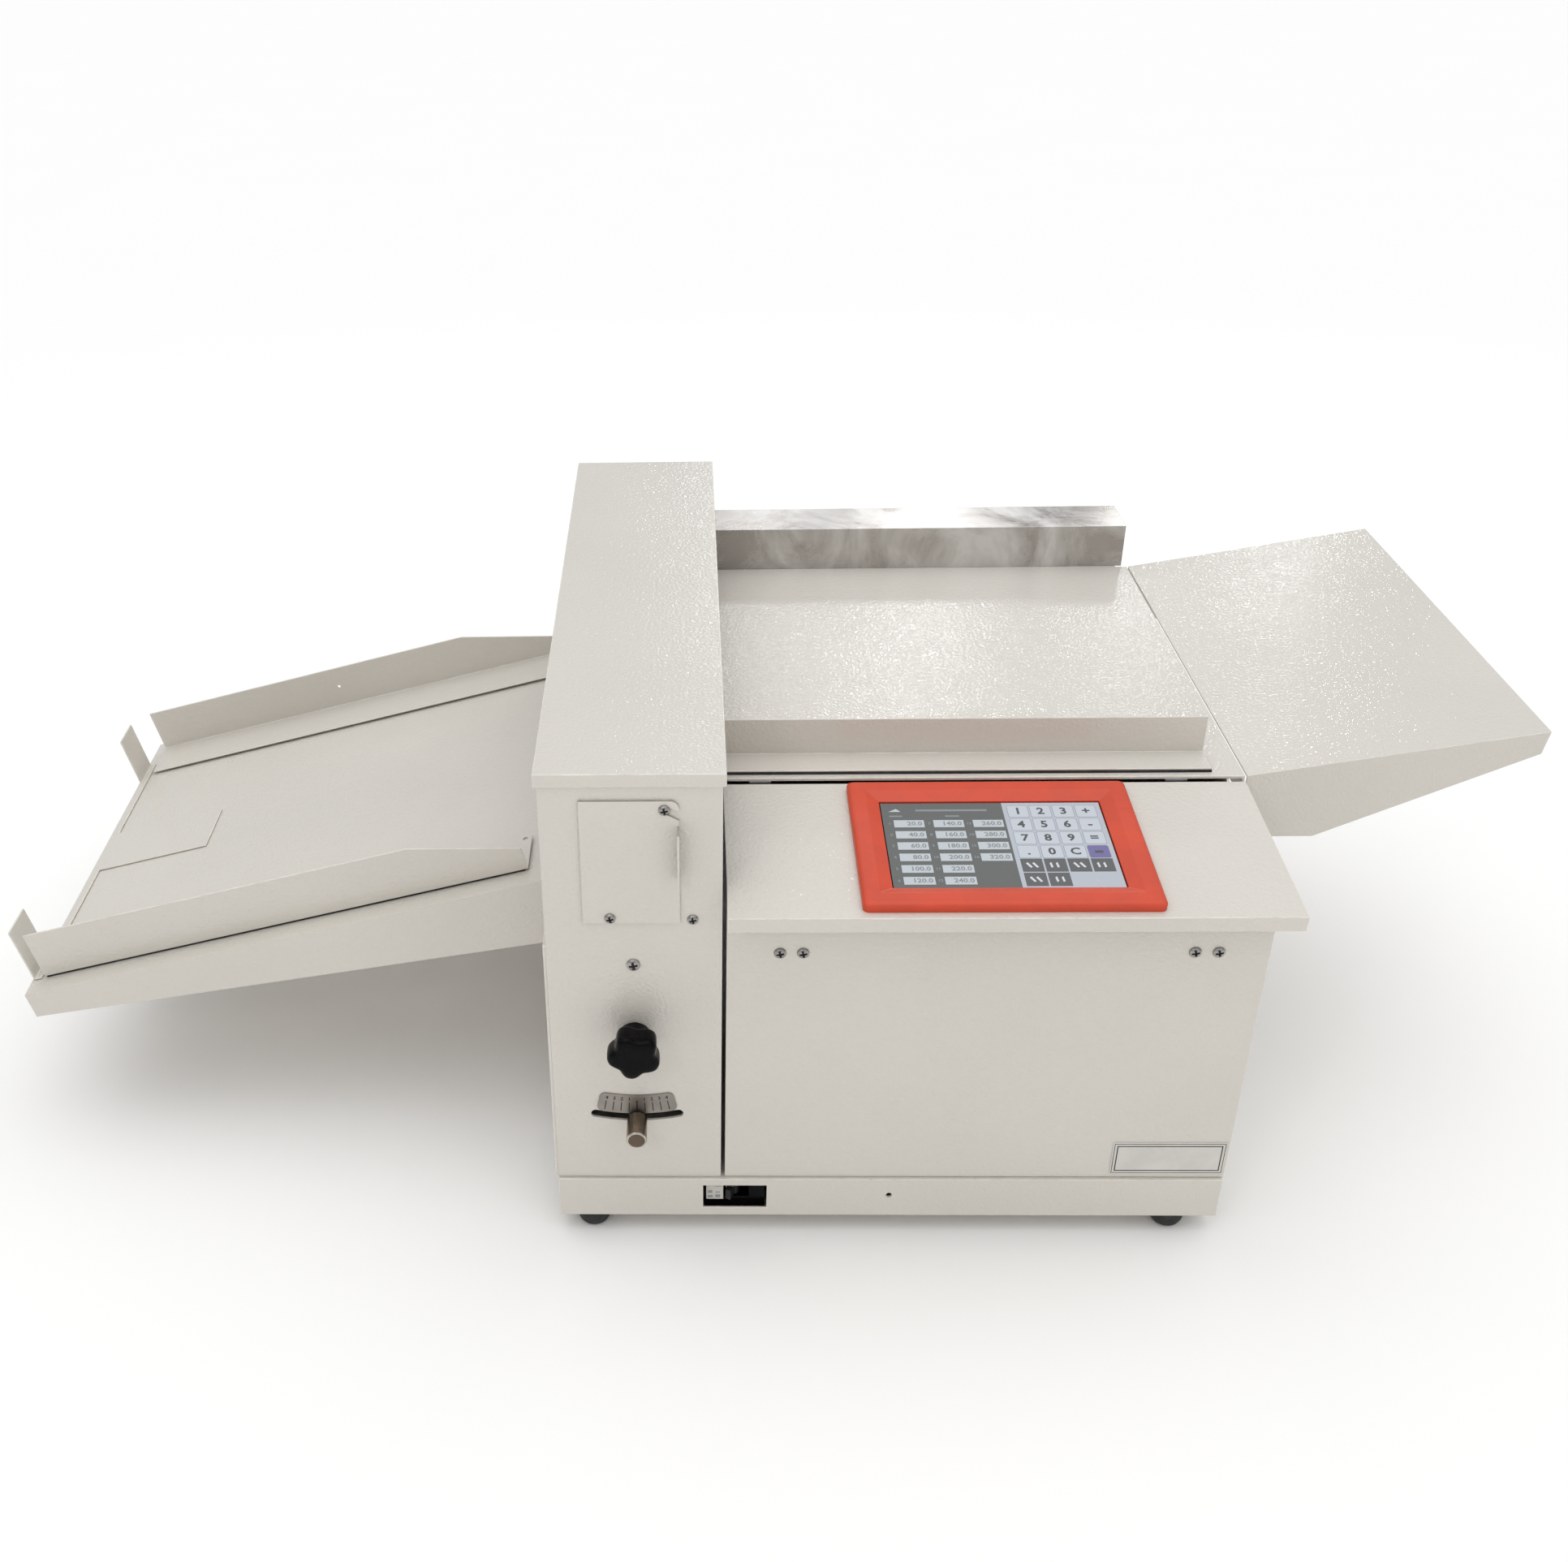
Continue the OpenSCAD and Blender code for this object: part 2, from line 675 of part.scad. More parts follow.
module rear_frame() {
    y1 = frame_y1 + frame_t;
    color(steel) difference() {
        prism_y(frame_y1, y1) frame_outline(false);
        bush_holes(frame_y1 - 1, y1 + 1);
        rod_y(head_x, main_motor_z, 15, frame_y1 - 1, y1 + 1);
        rod_y(feed_motor_x, feed_motor_z, 11, frame_y1 - 1, y1 + 1);
    }
}

module tie_bars() {
    color(steel) {
        for (x = [feed_motor_x, base_w - 37]) {
            slab(x - 8, x + 8, front_d, frame_y1, table_under - 14, table_under);
            slab(x - 8, x + 8, frame_y0, front_d + 1, table_under - 14, table_under - 5);
        }
        for (x = [22, tower_w - 22]) rod_y(x, 228, 7, frame_y0, frame_y1);
    }
}

module bed_beam() {
    color(steel) {
        slab(head_x - 22, head_x + 22, frame_y0, frame_y1, bed_top - 24, bed_top);
        translate([head_x, pivot_y, bed_top]) cylinder(r = pivot_r, h = 13);
    }
}

module bush(x, z, r_out, r_in, y0, y1) {
    difference() {
        rod_y(x, z, r_out, y0, y1);
        rod_y(x, z, r_in + run_gap, y0 - 1, y1 + 1);
    }
}

module shaft_bushes() {
    color(brass) {
        for (y = [frame_y0 - frame_t, frame_y1]) {
            for (x = [infeed_x, outfeed_x]) for (z = [lower_z, upper_z])
                bush(x, z, roller_bush_r, shaft_r, y, y + frame_t);
            bush(head_x, cam_z, cam_bush_r, cam_shaft_r, y, y + frame_t);
        }
        bush(lever_x, lever_z, skew_bush_r, 6, frame_y0 - frame_t, frame_y0);
    }
}

module lock_bracket() {
    y0 = arm_y + arm_t + 2;
    color(steel) {
        slab(15.5, 103.5, y0, y0 + 3, knob_z - 10, knob_z + 10);
        for (x = [15.5, 100.5]) slab(x, x + 3, sheet, y0, knob_z - 10, knob_z + 10);
        rod_y(lever_x, knob_z, stud_r, -22, y0);
    }
}

// ---------- rollers and their drive ----------
module roller(x, z, gear_turn, y_end) {
    rod_y(x, z, shaft_r, frame_y0 - frame_t - 2, y_end);
    rod_y(x, z, roller_r, front_d + 0.5, table_y1 - 1.5);
    prism_y(gear_y, gear_y + gear_t) translate([x, z]) rotate(gear_turn)
        gear_2d(gear_n, roller_pitch / 2, 0.35);
}

module infeed_lower_roller() {
    color(dark) {
        roller(infeed_x, lower_z, 0, belt_b_y + pulley_w);
        pulley(infeed_x, lower_z, belt_a_y, pulley_r, pulley_w);
        pulley(infeed_x, lower_z, belt_b_y, pulley_r, pulley_w);
    }
}
module outfeed_lower_roller() {
    color(dark) {
        roller(outfeed_x, lower_z, 0, belt_b_y + pulley_w);
        pulley(outfeed_x, lower_z, belt_b_y, pulley_r, pulley_w);
    }
}
module infeed_upper_roller() { color(dark) roller(infeed_x, upper_z, 180 / gear_n, gear_y + gear_t + 0.5); }
module outfeed_upper_roller() { color(dark) roller(outfeed_x, upper_z, 180 / gear_n, gear_y + gear_t + 0.5); }

module feed_motor() {
    x = feed_motor_x;
    z = feed_motor_z;
    y1 = frame_y1 - 0.2;
    color(dark) difference() {
        union() {
            slab(x - 28.5, x + 28.5, y1 - 56, y1, z - 28.5, z + 28.5);
            rod_y(x, z, 10, y1, y1 + 5);
        }
        rod_y(x, z, motor_shaft_r + run_gap, y1 - 14, y1 + 6);
    }
}

module feed_motor_pulley() {
    color(steel) {
        rod_y(feed_motor_x, feed_motor_z, motor_shaft_r, frame_y1 - 14, belt_a_y);
        pulley(feed_motor_x, feed_motor_z, belt_a_y, pulley_r, pulley_w);
    }
}

module feed_belts() {
    inset = flange_t + 0.3;
    w = pulley_w - 2 * inset;
    color(rubber) {
        belt_loop(infeed_x, lower_z, feed_motor_x, feed_motor_z, belt_a_y + inset, pulley_r, w);
        belt_loop(outfeed_x, lower_z, infeed_x, lower_z, belt_b_y + inset, pulley_r, w);
    }
}

module main_motor() {
    y1 = frame_y1 - 0.2;
    color(dark) difference() {
        union() {
            slab(head_x - 40, head_x + 40, y1 - 50, y1, main_motor_z - 40, main_motor_z + 40);
            rod_y(head_x, main_motor_z, 37, y1 - 160, y1 - 50);
        }
        rod_y(head_x, main_motor_z, main_shaft_r + run_gap, y1 - 20, y1 + 1);
    }
}

module main_motor_pulley() {
    color(steel) {
        rod_y(head_x, main_motor_z, main_shaft_r, frame_y1 - 19, belt_c_y);
        pulley(head_x, main_motor_z, belt_c_y, big_pulley_r, big_pulley_w);
    }
}

module cam_pulley() {
    color(steel) difference() {
        pulley(head_x, cam_z, belt_c_y, big_pulley_r, big_pulley_w);
        rod_y(head_x, cam_z, cam_shaft_r, belt_c_y - 1, belt_c_y + big_pulley_w + 1);
    }
}

module main_belt() {
    inset = flange_t + 0.3;
    color(rubber) belt_loop(head_x, main_motor_z, head_x, cam_z, belt_c_y + inset, big_pulley_r,
        big_pulley_w - 2 * inset);
}

// ---------- creasing head ----------
// Support height of the cam at a turn of u degrees, and its rate per radian:
// it climbs evenly from -10 to 150 degrees and returns on a smooth cubic.
cam_lo = cam_base - cam_k * 10 * PI / 180;
cam_hi = cam_base + cam_k * 150 * PI / 180;
cam_back = 200 * PI / 180;
function cam_h(u) = u <= 150 ? cam_base + cam_k * u * PI / 180 : let (t = (u - 150) / 200)
    (2 * t^3 - 3 * t^2 + 1) * cam_hi + (t^3 - 2 * t^2 + t) * cam_back * cam_k
    + (3 * t^2 - 2 * t^3) * cam_lo + (t^3 - t^2) * cam_back * cam_k;
function cam_dh(u) = u <= 150 ? cam_k : let (t = (u - 150) / 200)
    ((6 * t^2 - 6 * t) * (cam_hi - cam_lo)) / cam_back + (3 * t^2 - 4 * t + 1) * cam_k
    + (3 * t^2 - 2 * t) * cam_k;
function cam_pt(u) = let (a = u - 90)
    [cam_h(u) * cos(a) - cam_dh(u) * sin(a), cam_h(u) * sin(a) + cam_dh(u) * cos(a)];

module cam_shaft() {
    color(steel) rod_y(head_x, cam_z, cam_shaft_r, frame_y0 - frame_t - 4, belt_c_y + big_pulley_w);
}

module beam_cams() {
    color(bright) for (y = [blade_y0 - 5, blade_y1 - 6]) difference() {
        prism_y(y, y + cam_w) translate([head_x, cam_z]) polygon([for (u = [-10:5:345]) cam_pt(u)]);
        rod_y(head_x, cam_z, cam_shaft_r, y - 1, y + cam_w + 1);
    }
}

module crease_beam() {
    color(steel) difference() {
        slab(head_x - beam_w / 2, head_x + beam_w / 2, frame_y0 + 2, frame_y1 - 2, beam_z, beam_top);
        for (y = column_y) translate([head_x, y, 0]) {
            cylinder(r = column_r + run_gap, h = tower_h);
            cylinder(r = spring_pocket_r, h = spring_z1);
        }
        slab(head_x - blade_t / 2, head_x + blade_t / 2, blade_y0, blade_y1, beam_z - 1, beam_z + 8);
    }
}

module crease_blade() {
    tip = table_z + blade_lift;
    h = blade_t / 2;
    color(bright) prism_y(blade_y0, blade_y1) polygon([[head_x - h, beam_z + 8], [head_x - h, tip + 2],
        [head_x - 0.5, tip], [head_x + 0.5, tip], [head_x + h, tip + 2], [head_x + h, beam_z + 8]]);
}

module guide_columns() {
    color(bright) for (y = column_y)
        translate([head_x, y, bar_z0 + 6]) cylinder(r = column_r, h = beam_top - stroke - 2 - bar_z0 - 6);
}

// Each spring is a stack of wire rings between its two seats
module return_springs() {
    wire = 0.9;
    turns = 7;
    run = spring_z1 - spring_z0 - 2 * wire - 0.4;
    color(bright) for (y = column_y) for (i = [0:turns - 1])
        translate([head_x, y, spring_z0 + wire + 0.2 + run * i / (turns - 1)])
            rotate_extrude() translate([spring_r - wire - 0.1, 0]) circle(r = wire, $fn = 16);
}

module die_bar() {
    color(steel) difference() {
        union() {
            slab(head_x - bar_w / 2, head_x + bar_w / 2, fork_y - 3, frame_y1 - 2, bar_z0, bar_z1);
            slab(lever_x - 12, lever_x + 12, fork_y - 3, fork_y + 3, lever_z + 7.5, bar_z0);
        }
        for (y = column_y) translate([head_x, y, 0]) {
            translate([0, 0, bar_z0 + 6]) cylinder(r = column_r, h = 40);
            translate([0, 0, spring_z0]) cylinder(r = spring_pocket_r, h = 40);
        }
        translate([head_x, pivot_y, bar_z0 - 1]) cylinder(r = pivot_r + run_gap, h = 15);
        slab(lever_x - crank_pin_r - 0.1, lever_x + crank_pin_r + 0.1, fork_y - 4, fork_y + 4,
            lever_z, lever_z + crank_r + crank_pin_r + 3);
    }
}

module die_insert() {
    color(bright) difference() {
        slab(head_x - 12, head_x + 12, blade_y0, blade_y1, bar_z1, die_top);
        slab(head_x - 1, head_x + 1, blade_y0 - 1, blade_y1 + 1, die_top - 2, die_top + 1);
    }
}

// ---------- skew lever ----------
module skew_lever() {
    shaft_y0 = sheet + 2;
    color(steel) difference() {
        union() {
            rod_y(lever_x, lever_z, 6, shaft_y0, frame_y0);
            rod_y(lever_x, lever_z, 14, arm_y, arm_y + arm_t);
            slab(lever_x - 8, lever_x + 8, arm_y, arm_y + arm_t, lever_z - lever_r, lever_z);
            rod_y(lever_x, lever_z - lever_r, 8, arm_y, arm_y + arm_t);
            sector_down(lever_x, lever_z, lever_z - knob_z - 12, lever_z - knob_z + 12, 22,
                arm_y, arm_y + arm_t);
            rod_y(lever_x, lever_z, crank_r + 6, fork_y - 10, fork_y - 4);
            rod_y(lever_x, lever_z + crank_r, crank_pin_r, fork_y - 4, fork_y + 4);
        }
        rod_y(lever_x, lever_z, door_screw_r + run_gap, 0, arm_y + 12);
        slot_down(lever_x, lever_z, lever_z - knob_z, 2 * stud_r + 0.8, lever_swing + 1,
            arm_y - 1, arm_y + arm_t + 1);
        rod_y(lever_x, lever_z - lever_r, 3.2, arm_y - 1, arm_y + arm_t + 1);
    }
}

module lever_handle() {
    z = lever_z - lever_r;
    color(bright) {
        rod_y(lever_x, z, handle_d / 2, -sheet - 0.5 - handle_l, -sheet - 0.5);
        rod_y(lever_x, z, 3.2, -sheet - 0.5, arm_y + arm_t);
    }
}

module scale_plate() {
    half = lever_swing - 2.9; // the rounded ends reach on past this angle
    color(bright) {
        sector_down(lever_x, lever_z, lever_r - 21, lever_r - 4, half, -0.8, 0);
        for (a = [-half, half])
            rod_y(lever_x + (lever_r - 12.5) * sin(a), lever_z - (lever_r - 12.5) * cos(a), 8, -0.8, 0);
    }
}

module star_knob() {
    r = knob_d / 2;
    lobe = knob_d / 5;
    color(rubber) difference() {
        union() {
            rod_y(lever_x, knob_z, knob_neck_r, -15, arm_y - slide_gap);
            rod_y(lever_x, knob_z, knob_hub_r, -15, -5);
            prism_y(-33, -15) translate([lever_x, knob_z]) {
                circle(r = r * 0.82);
                for (i = [0:knob_lobes - 1]) rotate(knob_rest + i * 360 / knob_lobes)
                    translate([r - lobe, 0]) circle(r = lobe);
            }
        }
        rod_y(lever_x, knob_z, stud_r + run_gap, -23, arm_y + 1);
    }
}

module access_door() {
    x1 = door_x + door_w;
    z1 = door_z + door_h;
    y0 = -door_t - 0.2;
    reach = norm(door_lock - door_pivot);
    lock_a = atan2(door_lock[1] - door_pivot[1], door_lock[0] - door_pivot[0]);
    color(ivory) difference() {
        union() {
            slab(door_x, x1 - 6, y0, -0.2, door_z, z1);
            slab(x1 - 6, x1, y0, -0.2, door_z, z1 - 6);
            rod_y(x1 - 6, z1 - 6, 6, y0, -0.2);
            slab(x1 - door_t, x1, -13.7, y0, door_z + 36, door_z + 76.6);
        }
        rod_y(door_pivot[0], door_pivot[1], door_screw_r + run_gap, y0 - 1, 1);
        rod_y(door_lock[0], door_lock[1], door_screw_r + 0.4, y0 - 1, 1);
        translate([door_pivot[0], 1, door_pivot[1]]) rotate([90, 0, 0]) rotate([0, 0, lock_a - 14])
            rotate_extrude(angle = 14) translate([reach - 2.9, 0]) square([5.8, door_t + 3]);
    }
}

// ---------- electrics ----------
module breaker_body() {
    x0 = breaker_x + 1;
    x1 = breaker_x + breaker_w - 1;
    color(dark) difference() {
        slab(x0, x1, 3.5, 63, foot_h + sheet, breaker_z[1] - 0.5);
        slab(toggle_pivot[0] - 11, toggle_pivot[0] + 11, 3, 15, 29.5, 40.5);
    }
}

module breaker_toggle() {
    color(rubber) translate([toggle_pivot[0], toggle_pivot[1], 30]) rotate([0, 0, -toggle_tilt]) {
        cylinder(r = 4, h = 10);
        translate([-2, -11, 0.5]) cube([4, 9, 9]);
    }
}

module power_supply() {
    color(bright) difference() {
        slab(250, 410, 330, 430, base_z, base_z + 40);
        slab(250 + sheet, 410 - sheet, 330 + sheet, 430 - sheet, base_z + sheet, base_z + 40 - sheet);
    }
}

module control_board() {
    y1 = frame_y0 - frame_t;
    color(green) {
        slab(235, 405, y1 - 11.6, y1 - 10, 90, 210);
        for (x = [241, 399]) for (z = [96, 204]) rod_y(x, z, 3, y1 - 10, y1);
        slab(255, 295, y1 - 24, y1 - 11.6, 130, 170);
        slab(320, 350, y1 - 30, y1 - 11.6, 110, 180);
        slab(365, 395, y1 - 20, y1 - 11.6, 150, 195);
    }
}

module mains_inlet() {
    color(dark) difference() {
        union() {
            slab(170.2, 197.8, back_y - 24, back_y + sheet, 75.2, 122.8);
            slab(165, 203, back_y + sheet, back_y + sheet + 3, 70, 128);
        }
        slab(174, 194, back_y - 16, back_y + sheet + 4, 92, 116);
    }
}

place() {
    base_pan();
    rubber_feet();
    tower_front_panel();
    tower_shell();
    tower_left_cover();
    front_panel();
    right_side_panel();
    rear_panel();
    console();
    touch_screen_bezel();
    touch_screen_module();
    feed_table();
    rear_fence();
    name_plate();
    scale_plate();
    panel_screws();
    front_frame();
    rear_frame();
    tie_bars();
    bed_beam();
    shaft_bushes();
    lock_bracket();
    feed_motor();
    main_motor();
    feed_belts();
    main_belt();
    power_supply();
    control_board();
    mains_inlet();
    breaker_body();
    access_door();
    star_knob();
    skew_lever();
    lever_handle();
    die_bar();
    die_insert();
    guide_columns();
    return_springs();
    crease_beam();
    crease_blade();
    cam_shaft();
    beam_cams();
    cam_pulley();
    main_motor_pulley();
    infeed_lower_roller();
    infeed_upper_roller();
    outfeed_lower_roller();
    outfeed_upper_roller();
    feed_motor_pulley();
    breaker_toggle();
    front_fence();
    front_fence_magnet();
    extension_table();
    delivery_tray();
    front_tray_guide();
    front_guide_magnet();
    rear_tray_guide();
    rear_guide_magnet();
    end_stop();
    top_cover();
}
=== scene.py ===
"""Looks of a table-top paper creasing machine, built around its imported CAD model.

Everything is in metres in the row frame: +X towards the extension table, +Y to the back, +Z up.
"""

import json
import math
from itertools import pairwise

import bmesh
import bpy
from mathutils import Matrix, Vector


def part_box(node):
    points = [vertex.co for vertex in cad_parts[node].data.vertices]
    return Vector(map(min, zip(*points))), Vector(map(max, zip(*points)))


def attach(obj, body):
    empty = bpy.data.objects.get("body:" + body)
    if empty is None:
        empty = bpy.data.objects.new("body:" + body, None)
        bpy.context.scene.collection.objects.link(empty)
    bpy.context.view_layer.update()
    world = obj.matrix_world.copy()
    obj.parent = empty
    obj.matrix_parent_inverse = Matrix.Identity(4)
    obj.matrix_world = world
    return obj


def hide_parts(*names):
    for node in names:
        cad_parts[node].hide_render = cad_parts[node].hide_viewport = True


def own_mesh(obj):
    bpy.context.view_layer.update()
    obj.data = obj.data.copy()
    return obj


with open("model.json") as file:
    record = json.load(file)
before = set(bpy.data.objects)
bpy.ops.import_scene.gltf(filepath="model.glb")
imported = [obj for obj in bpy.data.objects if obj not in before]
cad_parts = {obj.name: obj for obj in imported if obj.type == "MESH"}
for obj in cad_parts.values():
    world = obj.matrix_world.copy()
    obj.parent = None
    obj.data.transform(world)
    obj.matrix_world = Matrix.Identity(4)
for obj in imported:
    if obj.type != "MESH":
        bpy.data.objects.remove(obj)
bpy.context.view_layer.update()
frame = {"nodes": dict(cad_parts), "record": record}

MM = 0.001
NODES = frame["nodes"]
RECORD = frame["record"]
BODY_OF = {n: b for b, members in RECORD["behaviour"]["bodies"].items() for n in members}
JOINT = {j["name"]: j for j in RECORD["behaviour"]["joints"]}
TAU = 2 * math.pi
WELD = 2e-6  # vertices closer than this are one


# ---------- node graphs ----------
class Graph:
    """A material and the few node patterns that the finishes share."""

    def __init__(self, name):
        self.mat = bpy.data.materials.new(name)
        self.mat.use_nodes = True
        self.tree = self.mat.node_tree
        self.bsdf = self.tree.nodes["Principled BSDF"]
        coord = self.tree.nodes.new("ShaderNodeTexCoord")
        self.coord = coord.outputs["Object"]

    def node(self, kind, **inputs):
        made = self.tree.nodes.new(kind)
        for key, value in inputs.items():
            self.put(made.inputs[key.replace("_", " ")], value)
        return made

    def put(self, socket, value):
        if isinstance(value, bpy.types.NodeSocket):
            self.tree.links.new(value, socket)
        elif isinstance(value, (tuple, list)) and len(value) == 3 and socket.type == "RGBA":
            socket.default_value = (*value, 1)
        else:
            socket.default_value = value

    def set(self, **inputs):
        for key, value in inputs.items():
            self.put(self.bsdf.inputs[key.replace("_", " ")], value)
        return self

    def noise(self, scale, detail=2.0, rough=0.5, distortion=0.0, coord=None):
        return self.node("ShaderNodeTexNoise", Vector=coord or self.coord, Scale=scale, Detail=detail,
                         Roughness=rough, Distortion=distortion).outputs["Fac"]

    def stretched(self, x, y, z):
        """Object coordinates scaled unevenly, for brushed and drawn surfaces."""
        return self.node("ShaderNodeMapping", Vector=self.coord, Scale=(x, y, z)).outputs["Vector"]

    def between(self, value, start, end, out_start, out_end):
        """Maps one range of values onto another, and holds at its ends."""
        made = self.node("ShaderNodeMapRange", Value=value, From_Min=start, From_Max=end,
                         To_Min=out_start, To_Max=out_end)
        return made.outputs["Result"]

    def mix(self, fac, a, b):
        """Blends two colours."""
        factor, colour_a, colour_b, colour_out = 0, 6, 7, 2  # the node's sockets for colours
        made = self.tree.nodes.new("ShaderNodeMix")
        made.data_type = "RGBA"
        self.put(made.inputs[factor], fac)
        self.put(made.inputs[colour_a], a)
        self.put(made.inputs[colour_b], b)
        return made.outputs[colour_out]

    def maths(self, operation, a, b):
        made = self.tree.nodes.new("ShaderNodeMath")
        made.operation = operation
        self.put(made.inputs[0], a)
        self.put(made.inputs[1], b)
        return made.outputs[0]

    def bump(self, height, depth, strength=1.0, normal=None):
        made = self.node("ShaderNodeBump", Height=height, Distance=depth, Strength=strength)
        if normal is not None:
            self.put(made.inputs["Normal"], normal)
        return made.outputs["Normal"]

    def zone(self, axis, start, end):
        """1 between two values of an object coordinate, and 0 outside them."""
        split = self.node("ShaderNodeSeparateXYZ", Vector=self.coord)
        above = self.maths("GREATER_THAN", split.outputs[axis], start)
        return self.maths("MULTIPLY", above, self.maths("LESS_THAN", split.outputs[axis], end))


def tint(rgb, k):
    """A colour made darker or lighter."""
    return tuple(min(1.0, c * k) for c in rgb)


IVORY = (0.66, 0.62, 0.56)


def powder_coat(name, rgb, peel=1.0):
    """Glossy orange-peel powder coat with faint blotches, fine specks and wiped smudges."""
    g = Graph(name)
    blotch = g.noise(5, 3)
    specks = g.noise(900, 2, 0.7)
    colour = g.mix(g.between(blotch, 0.35, 0.65, 0, 1), tint(rgb, 0.975), tint(rgb, 1.02))
    colour = g.mix(g.between(specks, 0.69, 0.76, 0, 0.35), colour, tint(rgb, 0.72))
    smudge = g.noise(9, 3, 0.5)
    g.set(Base_Color=colour, Roughness=g.between(smudge, 0.3, 0.7, 0.30, 0.40))
    g.set(Coat_Weight=0.7, Coat_Roughness=0.03, Specular_IOR_Level=0.4)
    orange_peel = g.noise(390, 1.5, 0.5)
    swell = g.noise(60, 2)
    normal = g.bump(swell, 0.0006, 0.25 * peel)
    normal = g.bump(orange_peel, 0.0009, 0.62 * peel, normal)
    g.set(Normal=normal, Coat_Normal=normal)
    return g.mat


def worn_edge(name, rgb):
    """The powder coat on a folded edge, where it is thinner, rubbed and a little darker. Given a dark colour,
    it is the painted shade round the door.
    """
    g = Graph(name)
    rub = g.noise(60, 4, 0.65)
    colour = g.mix(g.between(rub, 0.35, 0.7, 0, 1), tint(rgb, 1.24), tint(rgb, 0.98))
    rubbed = g.between(g.noise(260, 3, 0.6), 0.70, 0.76, 0, 0.7)
    g.set(Base_Color=g.mix(rubbed, colour, tint(rgb, 0.6)))
    g.set(Roughness=g.between(rub, 0.3, 0.7, 0.22, 0.42), Coat_Weight=0.3, Coat_Roughness=0.15)
    g.set(Normal=g.bump(g.noise(430, 2), 0.0002, 0.4))
    return g.mat


def stainless():
    """Hand-wiped stainless sheet: cloudy blotches over fine rolling lines."""
    g = Graph("stainless_sheet")
    cloud = g.noise(11, 5, 0.62, 1.2)
    spangle = g.noise(38, 3, 0.6, 0.5)
    lines = g.noise(1, 3, 0.6, coord=g.stretched(14, 900, 900))
    colour = g.mix(g.between(cloud, 0.38, 0.62, 0, 1), (0.40, 0.375, 0.355), (0.72, 0.70, 0.68))
    colour = g.mix(g.between(spangle, 0.5, 0.72, 0, 0.35), colour, (0.47, 0.45, 0.43))
    rough = g.maths("ADD", g.between(cloud, 0.35, 0.65, 0.2, 0.36), g.between(lines, 0.3, 0.7, 0, 0.07))
    g.set(Base_Color=colour, Metallic=1.0, Roughness=rough)
    normal = g.bump(cloud, 0.0009, 0.12)
    g.set(Normal=g.bump(lines, 0.00002, 0.35, normal))
    return g.mat


def metal(name, rgb, rough, streak=(30, 900, 900), spots=0.25):
    """Machined or plated metal with tool lines, haze and a few darker spots."""
    g = Graph(name)
    lines = g.noise(1, 3, 0.6, coord=g.stretched(*streak))
    haze = g.noise(55, 4, 0.6)
    colour = g.mix(g.between(haze, 0.35, 0.7, 0, 1), tint(rgb, 1.06), tint(rgb, 0.86))
    colour = g.mix(g.between(g.noise(420, 2, 0.6), 0.66, 0.78, 0, spots), colour, tint(rgb, 0.45))
    g.set(Base_Color=colour, Metallic=1.0)
    g.set(Roughness=g.maths("ADD", g.between(haze, 0.3, 0.7, rough * 0.8, rough * 1.25),
                            g.between(lines, 0.3, 0.7, 0, 0.08)))
    g.set(Normal=g.bump(lines, 0.000015, 0.4))
    return g.mat


def plastic(name, rgb, rough, grain=900, depth=0.00003, coat=0.0, shine=0.5):
    """Moulded plastic or paint with a fine spark-eroded grain, dust and finger marks."""
    g = Graph(name)
    marks = g.noise(40, 4, 0.6, 0.6)
    colour = g.mix(g.between(marks, 0.4, 0.7, 0, 1), rgb, tint(rgb, 1.12))
    colour = g.mix(g.between(g.noise(600, 2), 0.66, 0.8, 0, 0.10), colour, (0.3, 0.29, 0.27))
    g.set(Base_Color=colour, Roughness=g.between(marks, 0.3, 0.7, rough * 0.85, rough * 1.2))
    g.set(Coat_Weight=coat, Coat_Roughness=0.12, Specular_IOR_Level=shine)
    g.set(Normal=g.bump(g.noise(grain, 2, 0.6), depth, 0.5))
    return g.mat


def rubber(name, rgb):
    """Matt rubber: dusty, with a coarse moulded grain."""
    g = Graph(name)
    dust = g.noise(70, 5, 0.7)
    colour = g.mix(g.between(dust, 0.45, 0.75, 0, 0.5), rgb, (0.10, 0.097, 0.092))
    g.set(Base_Color=colour, Roughness=g.between(dust, 0.3, 0.7, 0.62, 0.86))
    g.set(Normal=g.bump(g.noise(800, 3, 0.6), 0.00006, 0.6))
    return g.mat


def display(name, rgb, glow=0.25):
    """A lit area of the display behind a touch panel, with a fine dot grid and wiped grease."""
    g = Graph(name)
    grease = g.noise(45, 5, 0.65, 1.0)
    dots = g.node("ShaderNodeTexChecker", Vector=g.coord, Scale=2400).outputs["Fac"]
    colour = g.mix(g.between(dots, 0, 1, 0, 0.12), rgb, tint(rgb, 0.8))
    g.set(Base_Color=colour, Roughness=g.between(grease, 0.3, 0.75, 0.16, 0.34))
    g.set(Emission_Color=colour, Emission_Strength=glow, Coat_Weight=0.6, Coat_Roughness=0.08)
    return g.mat


